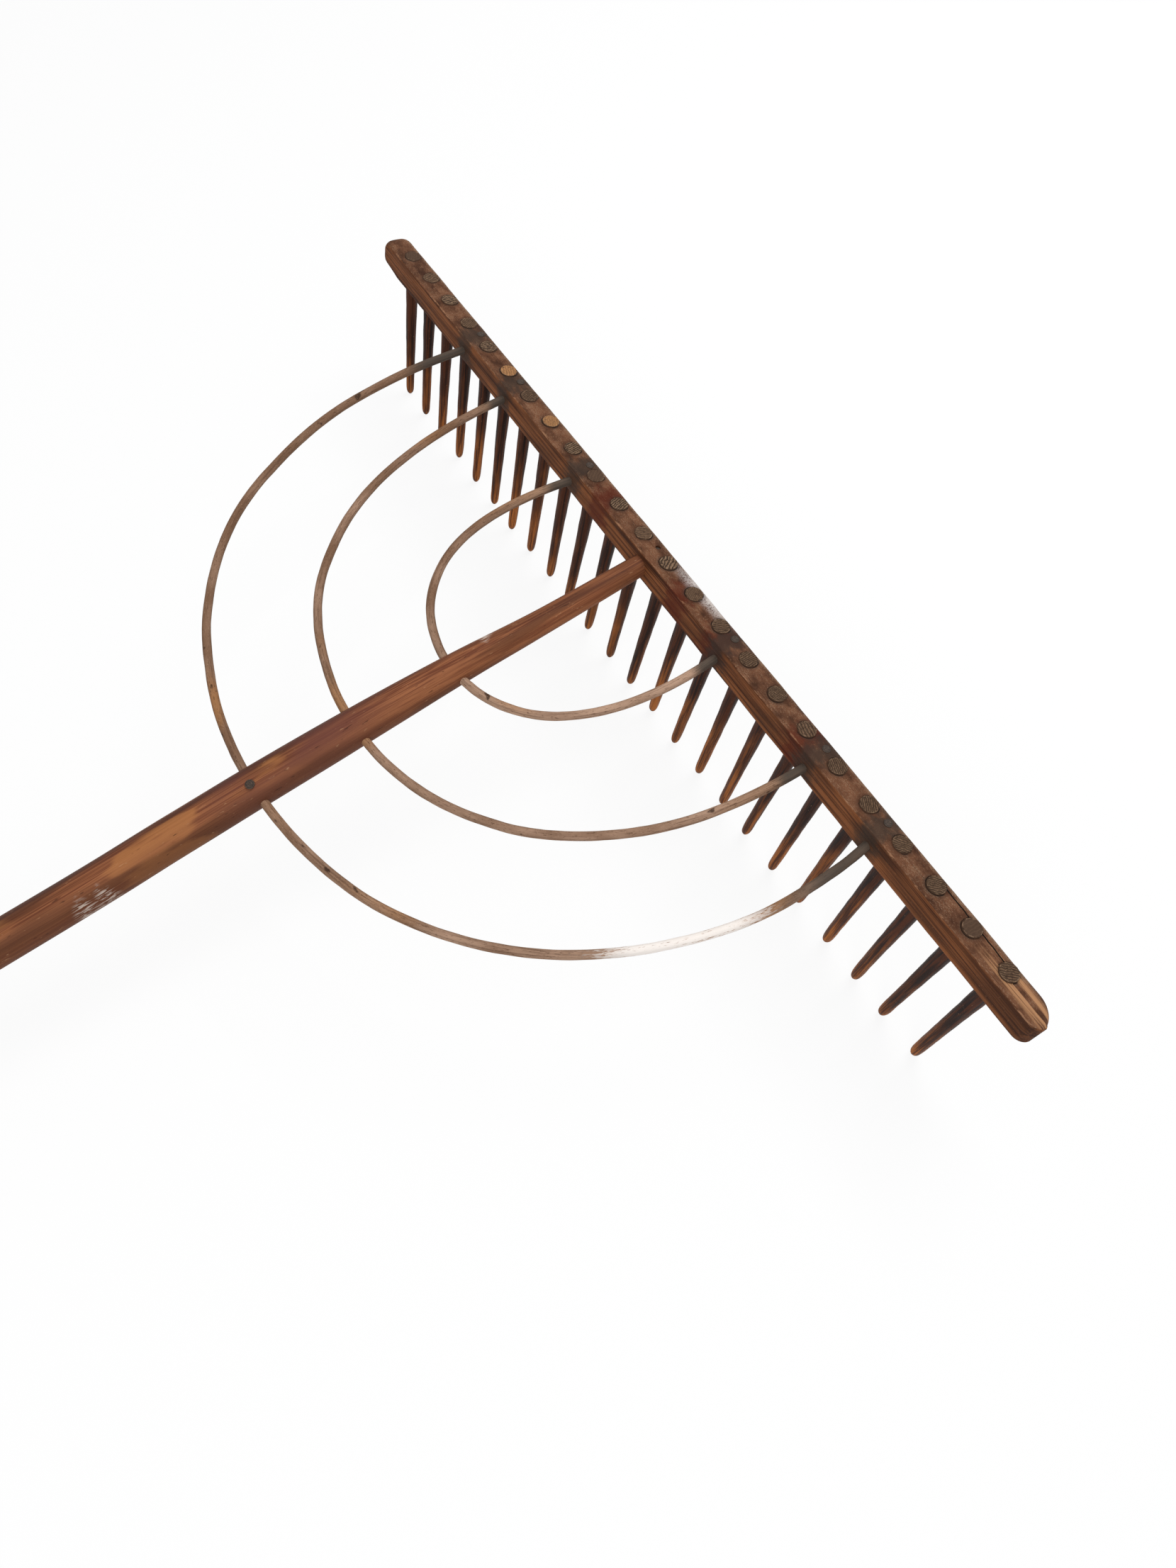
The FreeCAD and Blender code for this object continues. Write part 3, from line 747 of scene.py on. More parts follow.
class NodeShape:
    """A Geometry Nodes tree with named inputs, and what it is run on."""

    crease = 0.6

    def __init__(self, name: str, inputs: dict[str, Plug]) -> None:
        """Open a tree.

        Args:
            name: The tree's name.
            inputs: Each input's name and default value.
        """
        self.tree = bpy.data.node_groups.new(name, "GeometryNodeTree")
        self.sheet = NodeSheet(self.tree)
        faces = self.tree.interface
        faces.new_socket(name="Geometry", in_out="INPUT", socket_type="NodeSocketGeometry")
        for label, value in inputs.items():
            kind = "NodeSocketInt" if isinstance(value, int) else "NodeSocketFloat"
            faces.new_socket(name=label, in_out="INPUT", socket_type=kind).default_value = value
        faces.new_socket(name="Geometry", in_out="OUTPUT", socket_type="NodeSocketGeometry")
        self.start = self.sheet.add("NodeGroupInput")

    def __getitem__(self, label: str) -> Wire:
        """The wire from a named input."""
        return self.sheet.outputs(self.start, label)

    def named(self, name: str, kind: str = "FLOAT") -> Wire:
        """A value kept on the geometry."""
        return self.sheet.add("GeometryNodeInputNamedAttribute", {"data_type": kind}, {"Name": name})

    def keep(self, shape: Wire, name: str, value: Plug, kind: str = "FLOAT", domain: str = "POINT") -> Wire:
        """Keep a value on the geometry under a name."""
        inputs = {"Geometry": shape, "Name": name, "Value": value}
        return self.sheet.add("GeometryNodeStoreNamedAttribute", {"data_type": kind, "domain": domain}, inputs)

    def position(self) -> Wire:
        """Where each point is."""
        return self.sheet.add("GeometryNodeInputPosition")

    def rod(self, vertices: int, sides: int, fill: int, depth: float = 1.0) -> Wire:
        """A plain rod along Z, with a radius of one."""
        inputs = {"Vertices": vertices, "Side Segments": sides, "Fill Segments": fill, "Radius": 1.0, "Depth": depth}
        return self.sheet.add("GeometryNodeMeshCylinder", {"fill_type": "TRIANGLE_FAN"}, inputs)

    def strewn(self, blank: Wire) -> Wire:
        """Put a blank on each start point.

        Args:
            blank: The shape that is repeated.

        Returns:
            The copies as real geometry, with each one's point kept as root.
        """
        points = self.keep(self["Geometry"], "root", self.position(), VECTOR)
        copies = self.sheet.add("GeometryNodeInstanceOnPoints", None, {"Points": points, "Instance": blank})
        return self.sheet.add("GeometryNodeRealizeInstances", None, {"Geometry": copies})

    def close(self, shape: Wire, place: Wire, material: Material) -> None:
        """End the tree: the points' places, real geometry, creases, material.

        Args:
            shape: The geometry.
            place: Where each of its points goes.
            material: What it is made of.
        """
        sheet = self.sheet
        placed = sheet.add("GeometryNodeSetPosition", None, {"Geometry": shape, "Position": place})
        real = sheet.add("GeometryNodeRealizeInstances", None, {"Geometry": placed})
        smooth = sheet.add("GeometryNodeSetShadeSmooth", None, {"Geometry": real, "Shade Smooth": True})
        sharp = sheet.add("GeometryNodeInputMeshEdgeAngle").call("GREATER_THAN", self.crease)
        inputs = {"Geometry": smooth, "Selection": sharp, "Shade Smooth": False}
        creased = sheet.add("GeometryNodeSetShadeSmooth", {"domain": "EDGE"}, inputs)
        dressed = sheet.add("GeometryNodeSetMaterial", None, {"Geometry": creased, "Material": material})
        sheet.end("NodeGroupOutput", dressed)

    def run(self, name: str, base: Mesh, place: Matrix, values: dict[str, Plug] | None = None) -> Piece:
        """Run the tree and keep the result as a plain piece.

        Args:
            name: The piece's name.
            base: The mesh that the tree starts from.
            place: Where the result goes in the row frame.
            values: The inputs that differ from their defaults.

        Returns:
            The piece.
        """
        maker = new_object(name + "_maker", base)
        modifier = maker.modifiers.new("shape", "NODES")
        modifier.node_group = self.tree
        keys = {s.name: s.identifier for s in self.tree.interface.items_tree if s.in_out == "INPUT"}
        for label, value in (values or {}).items():
            modifier[keys[label]] = value
        mesh = plain_mesh(maker)
        mesh.name = name
        mesh.transform(place)
        bpy.data.objects.remove(maker)
        return new_object(name, mesh)


# ---------------------------------------------------------------- the pieces
class PegTone(Enum):
    """How a peg's sawn top has aged: paleness, orange, depth of saw marks."""

    DARK = (0.05, 0.0, 0.3)
    FAINT = (0.35, 0.06, 0.6)
    RIDGED = (1.0, 0.05, 1.0)
    ORANGE = (0.7, 0.85, 0.4)
    BROWN = (0.45, 0.06, 0.85)


@dataclass(frozen=True)
class PegTop:
    """One peg: its top's tone, the saw's angle in degrees, its stand and lean.

    The stand is how far it stands out of the head, and the lean how far its
    tip is off to the side, both in millimetres.
    """

    tone: PegTone
    saw_angle: float
    stand: float
    lean: float = 0.0


@dataclass
class HeadBar:
    """The head: a squared bar, one end shaved to a bullet."""

    length: float = 0.960
    depth: float = 0.0285
    height: float = 0.026
    mortise_drop: float = 0.015
    back_mount_share: float = 0.62
    corner_radii: tuple[float, ...] = (0.003, 0.003, 0.011, 0.0012)
    bullet_plan: float = 0.013
    bullet_top: float = 0.017
    bullet_bottom: float = 0.007
    square_front: float = 0.010
    square_back: float = 0.020
    square_edge: float = 0.002
    bullet_run: float = 0.034
    bullet_round: float = 0.0088
    recess_radius: float = 0.0024
    recess_depth: float = 0.0024
    recess_setback: float = 0.0025
    end_stations: int = 22
    station_gap: float = 0.0022
    unevenness: float = 0.00035
    nick_reach: float = 0.0025
    nick_depth: float = 0.0016

    @staticmethod
    def inset(gap: float, radius: float) -> float:
        """How far a rounded end has drawn in, at a gap from the end."""
        return radius - math.sqrt(max(0.0, radius ** 2 - max(0.0, radius - gap) ** 2))

    def stations(self) -> list[float]:
        """Places along the head, close together at both ends.

        Returns:
            The places, from the bullet end to the square end.
        """
        half, count = self.length / 2, self.end_stations
        turn = [self.square_back * (1 - math.cos(math.pi / 2 * step / count)) for step in range(count)]
        start, end = -half + self.square_back, half - self.square_back
        count = round((end - start) / self.station_gap)
        middle = [start + (end - start) * step / count for step in range(count + 1)]
        return [share - half for share in turn] + middle + [half - share for share in turn[::-1]]

    def limits(self, x: float) -> tuple[float, float, float, float]:
        """The front, back, bottom and top of the bar at a station.

        Args:
            x: The station.

        Returns:
            The four limits.
        """
        ends = (
            (self.bullet_plan, self.square_front),
            (self.bullet_plan, self.square_back),
            (self.bullet_bottom, self.square_edge),
            (self.bullet_top, self.square_edge),
        )
        left, right = x + self.length / 2, self.length / 2 - x
        front, back, bottom, top = (max(self.inset(left, one), self.inset(right, other)) for one, other in ends)
        return -self.depth / 2 + front, self.depth / 2 - back, -self.height + bottom, -top

    def section(self, x: float) -> list[Vector]:
        """The bar's outline at a station, anticlockwise seen from +X.

        Args:
            x: The station.

        Returns:
            The outline's points, as many at each station.
        """
        front, back, bottom, top = self.limits(x)
        width, height = back - front, top - bottom
        blunt = max(0.0, 1 - (x + self.length / 2) / self.bullet_run) ** 0.6
        radii = [radius + (max(radius, self.bullet_round) - radius) * blunt for radius in self.corner_radii]
        low_front, low_back, high_back, high_front = radii
        squeeze = min(
            1.0,
            width / (low_front + low_back),
            width / (high_front + high_back),
            height / (low_front + high_front),
            height / (low_back + high_back),
        )
        corners = [
            (front, bottom, low_front, 180, 5, 12),
            (back, bottom, low_back, 270, 5, 8),
            (back, top, high_back, 0, 14, 10),
            (front, top, high_front, 90, 6, 14),
        ]
        arcs = []
        for y, z, radius, start, steps, _ in corners:
            size = radius * squeeze
            y += size if y == front else -size
            z += size if z == bottom else -size
            turns = [math.radians(start + 90 * step / steps) for step in range(steps + 1)]
            arcs.append([Vector((x, y + size * math.cos(turn), z + size * math.sin(turn))) for turn in turns])
        outline: list[Vector] = []
        for arc, following, corner in zip(arcs, arcs[1:] + arcs[:1], corners):
            outline += arc + [arc[-1].lerp(following[0], step / corner[-1]) for step in range(1, corner[-1])]
        return outline

    def wear(self, point: Vector) -> Vector:
        """Unevenness of the old surface at a point.

        Args:
            point: The point.

        Returns:
            How far it is moved; it never moves along the bar.
        """
        slow = noise.noise_vector(Vector((point.x * 22, point.y * 45, point.z * 45)))
        quick = noise.noise_vector(Vector((point.x * 90, point.y * 160, point.z * 160)))
        shift = slow * self.unevenness + quick * self.unevenness * 0.35
        edge = math.hypot(point.y + self.depth / 2, point.z)
        if edge < self.nick_reach:
            nick = max(0.0, noise.noise(Vector((point.x * 130, 3.0, 0.0))) - 0.25)
            shift += Vector((0, 1, -1)) * nick * self.nick_depth * (1 - edge / self.nick_reach)
        shift.x = 0.0
        return shift

    def mesh(self) -> Mesh:
        """Build the bar in its own frame.

        Returns:
            The mesh, with its faces turned outward.
        """
        rings = [self.section(x) for x in self.stations()]
        count = len(rings[0])
        points = [point + self.wear(point) for ring in rings for point in ring]
        faces: list[Sequence[int]] = []
        for base in range(0, len(points) - count, count):
            for index in range(count):
                low, high = base + index, base + (index + 1) % count
                faces.append((low, high, high + count, low + count))
        faces += [list(range(count))[::-1], list(range(len(points) - count, len(points)))]
        mesh = bpy.data.meshes.new("head_bar")
        mesh.from_pydata([tuple(point) for point in points], [], faces)
        form = bmesh.new()
        form.from_mesh(mesh)
        bmesh.ops.recalc_face_normals(form, faces=form.faces)
        if form.calc_volume(signed=True) < 0:
            bmesh.ops.reverse_faces(form, faces=form.faces)
        form.to_mesh(mesh)
        form.free()
        return mesh

    def drill(self, mesh: Mesh) -> Mesh:
        """Sink the recess of the tenon's nail.

        Args:
            mesh: The bar.

        Returns:
            The bar with its recess.
        """
        form = bmesh.new()
        sizes = {"radius1": self.recess_radius, "radius2": self.recess_radius, "depth": self.recess_depth * 2}
        place = Matrix.Translation((0, self.recess_setback, 0))
        bmesh.ops.create_cone(form, cap_ends=True, segments=24, matrix=place, **sizes)
        tool = new_object("recess", bpy.data.meshes.new("recess"))
        form.to_mesh(tool.data)
        form.free()
        bar = new_object("bar", mesh)
        cut = bar.modifiers.new("recess", "BOOLEAN")
        cut.operation, cut.solver, cut.object = "DIFFERENCE", "MANIFOLD", tool
        result = plain_mesh(bar)
        for used in (tool, bar):
            bpy.data.objects.remove(used)
        return result

    def dress(self, mesh: Mesh, finish: HeadFinish) -> None:
        """Keep the grain and facing on the points and give the finish.

        Args:
            mesh: The bar.
            finish: What it is made of.
        """
        for name, source in (("grain", "co"), ("facing", "normal")):
            layer = mesh.attributes.new(name, VECTOR, "POINT")
            for vertex in mesh.vertices:
                layer.data[vertex.index].vector = getattr(vertex, source)
        mesh.shade_smooth()
        mesh.set_sharp_from_angle(angle=math.radians(50))
        mesh.materials.clear()
        mesh.materials.append(finish.make())
        mesh.polygons.foreach_set("material_index", [0] * len(mesh.polygons))

    def build(self, frames: RakeFrames, finish: HeadFinish) -> None:
        mesh = self.drill(self.mesh())
        self.dress(mesh, finish)
        mesh.transform(frames.head)
        declare(new_object("head_bar", mesh), "head_wood", "head")


@dataclass
class TineRow:
    """The row of pegs, made from one peg and a point for each."""

    tops: Sequence[PegTop]
    pitch: float = 0.038
    length: float = 0.163
    top_radius: float = 0.008
    root_radius: float = 0.0071
    tip_radius: float = 0.0042
    head_height: float = 0.026
    waist: Pairs = (
        (0.029, 0.0066), (0.040, 0.0061), (0.060, 0.0057), (0.080, 0.0053), (0.105, 0.0049), (0.135, 0.0045)
    )
    bevel_share: float = 0.0035
    shoulder_share: float = 0.9448
    seed: int = 11

    def points(self) -> Mesh:
        """A point for each peg, with what sets it apart.

        Returns:
            The points.
        """
        tones = zip(*(top.tone.value for top in self.tops))
        values = dict(zip(("paleness", "orange", "saw_depth"), tones))
        values["saw_angle"] = [math.radians(top.saw_angle) for top in self.tops]
        values["stand"] = [top.stand / 1000 for top in self.tops]
        values["lean"] = [top.lean / 1000 for top in self.tops]
        values["seed"] = [noise.random() for _ in self.tops]
        middle = (len(self.tops) - 1) / 2
        return point_mesh([Vector(((index - middle) * self.pitch, 0, 0)) for index in range(len(self.tops))], values)

    def tree(self, material: Material) -> NodeShape:
        """Build the tree that turns points into pegs.

        Args:
            material: What the pegs are made of.

        Returns:
            The tree.
        """
        sizes = {"Length": self.length, "Top Radius": self.top_radius, "Tip Radius": self.tip_radius}
        wear = {"Whittling": 0.075, "Lean": 0.0011, "Stoutness": 0.09, "Seed": self.seed}
        shape = NodeShape("peg_row", {**sizes, **wear})
        sheet, step = shape.sheet, shape.sheet.step
        rod = shape.rod(32, 56, 5)
        blank = shape.keep(rod, "end_face", sheet.outputs(rod, "Top"), "FLOAT", "FACE")
        pegs = shape.strewn(shape.keep(blank, "unit", shape.position(), VECTOR))

        unit_x, unit_y, unit_z = sheet.parts(shape.named("unit", VECTOR))
        seed = shape.named("seed") + shape["Seed"]
        gathered = [(0, 0), (0.04, self.bevel_share), (0.80, self.shoulder_share), (1, 1)]
        spread = sheet.curve(0.5 - unit_z, gathered)
        radius = sheet.curve(spread, self.profile()) * shape["Top Radius"]
        swirl = sheet.vector(unit_x * 0.9 + seed * 9.1, unit_y * 0.9 + seed * 3.3, spread * 11)
        shaved = sheet.noise(swirl) - 0.5
        root = shape.named("root", VECTOR)
        stout = step(sheet.parts(root)[0], 0.24, 0.36) * shape["Stoutness"]
        radius = radius * (1 + stout * step(spread, 0.15, 0.24))
        radius = radius * (1 + shaved * step(spread, 0.17, 0.35) * shape["Whittling"] * 2.2)
        lean_x = ((seed * 37.7).call("SINE") * shape["Lean"] * spread + shape.named("lean")) * spread
        lean_y = (seed * 51.3).call("SINE") * shape["Lean"] * spread * spread
        stand = shape.named("stand")
        depth = stand - spread * (shape["Length"] + stand)
        pegs = shape.keep(pegs, "along", spread)
        pegs = shape.keep(pegs, "grain", sheet.vector(unit_x * radius, unit_y * radius, depth), VECTOR)
        leaning = sheet.vector_math("ADD", shape.named("grain", VECTOR), sheet.vector(lean_x, lean_y, 0.0))
        shape.close(pegs, sheet.vector_math("ADD", leaning, root), material)
        return shape

    def profile(self) -> Pairs:
        """A peg's radius, as a share of its top's, from the top down.

        Returns:
            Places from 0 to 1, each with its radius.
        """
        points = [(0.0, 0.95), (self.bevel_share, 1.0)]
        for depth, radius in ((self.head_height, self.root_radius), *self.waist):
            points.append((depth / self.length, radius / self.top_radius))
        tip = self.tip_radius / self.top_radius
        return [*points, *round_end((0, 25, 45, 62, 76, 87), self.shoulder_share, tip)]

    def build(self, frames: RakeFrames, finish: TineFinish) -> None:
        noise.seed_set(self.seed)
        row = self.tree(finish.make()).run("tine_row", self.points(), frames.head)
        declare(row, "tine_wood", *["tine_%02d" % (index + 1) for index in range(len(self.tops))])


@dataclass(frozen=True)
class BowSide:
    """How one half of a bow runs and looks.

    The lean is its foot's, in degrees. The rise is how long it holds its line at
    the foot, over the reach, and the hold how long it holds its line at the
    handle, over the spread. The tone goes from brown to pale, and the stain is
    the length that has gone dark at the head.
    """

    lean: float
    rise: float
    hold: float
    tone: float
    stain: float


@dataclass
class Bow:
    """One bent rod, through the handle and into the head at both its feet."""

    node: str
    spread: float
    reach: float
    tilt: float
    left: BowSide
    right: BowSide
    seed: int
    worn_at: float = 9.0
    rod_radius: float = 0.00375
    socket_depth: float = 0.015

    def foot_x(self, side: int, depth: float) -> float:
        """How far out a foot's line is, at a depth behind the head's face."""
        half = self.left if side < 0 else self.right
        return side * (self.spread - depth * math.tan(math.radians(half.lean)))

    def sizes(self) -> dict[str, Plug]:
        """The tree's inputs for this bow.

        Returns:
            Each input's name and value.
        """
        values = {
            "Spread": self.spread,
            "Reach": self.reach,
            "Tilt": math.radians(self.tilt),
            "Rod Radius": self.rod_radius,
            "Socket Depth": self.socket_depth,
            "Worn At": self.worn_at,
            "Seed": self.seed,
        }
        for name, half in (("Left ", self.left), ("Right ", self.right)):
            values[name + "Lean"] = math.radians(half.lean)
            values.update({name + part.title(): getattr(half, part) for part in ("rise", "hold", "tone", "stain")})
        return values


@dataclass
class BowSet:
    """The bows from the inner one out, made by one tree that bends a rod."""

    bows: Sequence[Bow]
    length_share: float = 1.12
    crook: float = 0.0008
    lumps: float = 0.20

    def half_length(self, shape: NodeShape) -> Wire:
        """About how long half a bow is."""
        diagonal = shape["Spread"] * shape["Spread"] + shape["Reach"] * shape["Reach"]
        return diagonal.call("SQRT") * self.length_share

    @staticmethod
    def of_side(shape: NodeShape, right: Wire, name: str) -> Wire:
        """An input that the two halves have each their own of."""
        return shape["Left " + name] + (shape["Right " + name] - shape["Left " + name]) * right

    def bend(self, shape: NodeShape, side: Wire, share: Wire) -> tuple[Wire, Wire, Wire, Wire]:
        """Lay a half bow's curve out.

        Args:
            shape: The tree, with the bow's sizes as inputs.
            side: -1 on the left and 1 on the right.
            share: 0 at the handle, 1 at the head's face and more inside it.

        Returns:
            The place in the bows' frame and the way outwards, as x and z of each.
        """
        right = side * 0.5 + 0.5
        lean, rise, hold = [self.of_side(shape, right, name) for name in ("Lean", "Rise", "Hold")]
        spread, reach, tilt = shape["Spread"], shape["Reach"], shape["Tilt"]
        kept = hold * spread
        hold_x, hold_z = side * tilt.call("COSINE") * kept, reach - side * tilt.call("SINE") * kept
        foot_x = side * spread
        rise_x = foot_x + side * lean.call("SINE") * rise * reach
        rise_z = lean.call("COSINE") * rise * reach
        turn = share.call("MINIMUM", 1.0)
        rest = 1 - turn
        near, middle, far = rest * rest * 3, rest * turn * 3, turn * turn * 3
        slope_x = near * hold_x + middle * 2 * (rise_x - hold_x) + far * (foot_x - rise_x)
        slope_z = near * (hold_z - reach) + middle * 2 * (rise_z - hold_z) - far * rise_z
        speed = (slope_x * slope_x + slope_z * slope_z).call("SQRT")
        slope_x, slope_z = slope_x / speed, slope_z / speed
        sunk = (share - turn) * self.half_length(shape)
        x = near * turn * hold_x + middle * turn * rise_x + turn * turn * turn * foot_x + slope_x * sunk
        z = rest * rest * rest * reach + near * turn * hold_z + middle * turn * rise_z + slope_z * sunk
        return x, z, side * slope_z * -1, side * slope_x

    def tree(self, material: Material) -> NodeShape:
        """Build the tree that bends a straight rod into a bow.

        Args:
            material: What the bows are made of.

        Returns:
            The tree.
        """
        shape = NodeShape("bent_rod", {**self.bows[0].sizes(), "Crook": self.crook, "Lumps": self.lumps})
        sheet, step = shape.sheet, shape.sheet.step
        rod = shape.rod(20, 420, 1, 2.0)
        unit_x, unit_y, unit_z = sheet.parts(shape.position())
        side = unit_z.call("GREATER_THAN", 0.0) * 2 - 1
        length = self.half_length(shape)
        share = abs(unit_z) * (1 + shape["Socket Depth"] / length)
        run = share * length * side
        x, z, out_x, out_z = self.bend(shape, side, share)
        seed = shape["Seed"] * 7.13
        wobble = sheet.noise(sheet.vector(run * 9 + seed, seed, 0.0), 1.0, 0.5, "Color")
        wobble_out, wobble_up, _ = sheet.parts(wobble)
        gap = (1 - share) * length
        crook = shape["Crook"] * step(gap, 0.01, 0.08) * step(abs(run), 0.012, 0.06)
        lumps = sheet.noise(sheet.vector(unit_x * 0.5 + seed, unit_y * 0.5, run * 45))
        radius = shape["Rod Radius"] * (1 + (lumps - 0.5) * shape["Lumps"])
        out = unit_x * radius + (wobble_out - 0.5) * 4 * crook
        up = (wobble_up - 0.5) * 4 * crook - unit_y * radius
        blank = shape.keep(rod, "grain", sheet.vector(unit_x * radius, unit_y * radius, run), VECTOR)
        values = {
            "foot_gap": gap / self.of_side(shape, side * 0.5 + 0.5, "Stain"),
            "tone": self.of_side(shape, step(run, -0.05, 0.05), "Tone"),
            "worn": step(abs(run - shape["Worn At"]), 0.10, 0.035),
            "seed": shape["Seed"] * 0.37,
        }
        for name, value in values.items():
            blank = shape.keep(blank, name, value)
        blank = shape.keep(blank, "bent", sheet.vector(x + out * out_x, up, z + out * out_z), VECTOR)
        shape.close(blank, shape.named("bent", VECTOR), material)
        return shape

    def build(self, frames: RakeFrames, finish: BowFinish) -> None:
        shape = self.tree(finish.make())
        for bow in self.bows:
            rod = shape.run(bow.node + "_rod", point_mesh(), frames.bow, bow.sizes())
            declare(rod, "bow_wood", bow.node)


@dataclass
class HandleBar:
    """The handle: a thin neck that swells to a plain round grip."""

    length: float = 1.650
    start: float = -0.005
    grip_radius: float = 0.0172
    butt_round: float = 0.006
    stations: Pairs = (
        (-0.005, 0.0093), (0.030, 0.0098), (0.085, 0.0106), (0.125, 0.0117), (0.160, 0.0129),
        (0.200, 0.0142), (0.260, 0.0158), (0.320, 0.0168), (0.400, 0.0172),
    )
    crook: Pairs = (
        (0.0, 0.5), (0.05, 0.5), (0.13, 0.23), (0.19, 0.28), (0.26, 0.5),
        (0.34, 0.86), (0.42, 0.95), (0.6, 0.7), (0.8, 0.42), (1.0, 0.5),
    )

    def profile(self) -> Pairs:
        """Radius over the grip's, against the share of the length.

        Returns:
            Places from 0 to 1, each with its radius.
        """
        full = self.length - self.start
        points = [((place - self.start) / full, radius / self.grip_radius) for place, radius in self.stations]
        points.append((1 - self.butt_round / full, 1.0))
        for turn in (25, 50, 70, 90):
            angle = math.radians(turn)
            share = 1 - self.butt_round * (1 - math.sin(angle)) / full
            points.append((share, 1 - self.butt_round * (1 - math.cos(angle)) / self.grip_radius))
        return points

    def tree(self, material: Material) -> NodeShape:
        """Build the tree that turns a plain rod into the handle.

        Args:
            material: What the handle is made of.

        Returns:
            The tree.
        """
        sizes = {"Length": self.length, "Start": self.start, "Grip Radius": self.grip_radius}
        shape = NodeShape("shaved_handle", {**sizes, "Shaving": 0.012, "Crook": 0.010, "Seed": 5})
        sheet = shape.sheet
        rod = shape.rod(64, 520, 4)
        unit_x, unit_y, unit_z = sheet.parts(shape.position())
        butt = 1 - self.butt_round / (self.length - self.start)
        share = sheet.curve(unit_z + 0.5, [(0, 0), (0.975, butt), (1, 1)])
        radius = sheet.curve(share, self.profile())
        run = shape["Start"] + share * (shape["Length"] - shape["Start"])
        swirl = sheet.vector(unit_x * 0.9, unit_y * 0.9, run * 9 + shape["Seed"])
        shaved = sheet.noise(swirl) - 0.5
        radius = radius * shape["Grip Radius"] * (1 + shaved * shape["Shaving"] * 2)
        blank = shape.keep(rod, "grain", sheet.vector(unit_x * radius, unit_y * radius, run), VECTOR)
        aside = sheet.vector((sheet.curve(share, self.crook) - 0.5) * shape["Crook"], 0.0, 0.0)
        blank = shape.keep(blank, "aside", aside, VECTOR)
        place = sheet.vector_math("ADD", shape.named("grain", VECTOR), shape.named("aside", VECTOR))
        shape.close(blank, place, material)
        return shape

    def build(self, frames: RakeFrames, finish: HandleFinish) -> None:
        bar = self.tree(finish.make()).run("handle_bar", point_mesh(), frames.handle)
        declare(bar, "handle_wood", "handle")


@dataclass(frozen=True)
class NailSeat:
    """Where one nail's head sits, which way it faces, and its size."""

    node: str
    place: Vector
    turn: Vector
    head_radius: float
    length: float


@dataclass
class NailSet:
    """The nails, made from one nail and a point for each."""

    seats: Sequence[NailSeat]
    head_height: float = 0.0011
    crown: float = 0.0005

    def tree(self, material: Material) -> NodeShape:
        """Build the tree that sets a nail on each point.

        Args:
            material: What the nails are made of.

        Returns:
            The tree.
        """
        shape = NodeShape("nail_set", {"Head Height": self.head_height, "Crown": self.crown})
        sheet = shape.sheet
        cone = {"Vertices": 4, "Side Segments": 6, "Radius Top": 0.38, "Radius Bottom": 0.10, "Depth": 1.0}
        head = shape.keep(shape.rod(28, 2, 6), "shank", 0.0)
        stem = shape.keep(sheet.add("GeometryNodeMeshCone", None, cone), "shank", 1.0)
        join = sheet.add("GeometryNodeJoinGeometry", None, {"Geometry": head})
        sheet.tree.links.new(stem.socket, join.socket.node.inputs[0])
        nails = shape.strewn(shape.keep(join, "unit", shape.position(), VECTOR))

        unit_x, unit_y, unit_z = sheet.parts(shape.named("unit", VECTOR))
        radius = shape.named("head_radius")
        centre = (unit_x * unit_x + unit_y * unit_y).call("MINIMUM", 1.0)
        rise = (unit_z + 0.5) * (shape["Head Height"] - shape["Crown"])
        rise = rise + sheet.step(unit_z, 0.4, 0.5) * ((1 - centre * centre) * shape["Crown"])
        down = (unit_z - 1) * shape.named("length")
        depth = rise + (down - rise) * shape.named("shank")
        nails = shape.keep(nails, "grain", sheet.vector(unit_x * radius, unit_y * radius, depth), VECTOR)
        angles = sheet.vector(*[shape.named("turn_" + axis) for axis in "xyz"])
        turn = sheet.add("FunctionNodeEulerToRotation", None, {"Euler": angles})
        inputs = {"Vector": shape.named("grain", VECTOR), "Rotation": turn}
        turned = sheet.add("FunctionNodeRotateVector", None, inputs)
        shape.close(nails, sheet.vector_math("ADD", turned, shape.named("root", VECTOR)), material)
        return shape

    def build(self, finish: IronFinish) -> None:
        values = {name: [getattr(seat, name) for seat in self.seats] for name in ("head_radius", "length")}
        values.update({"turn_" + axis: [getattr(seat.turn, axis) for seat in self.seats] for axis in "xyz"})
        points = point_mesh([seat.place for seat in self.seats], values)
        nails = self.tree(finish.make()).run("nails", points, Matrix.Identity(4))
        declare(nails, "nail_iron", *[seat.node for seat in self.seats])


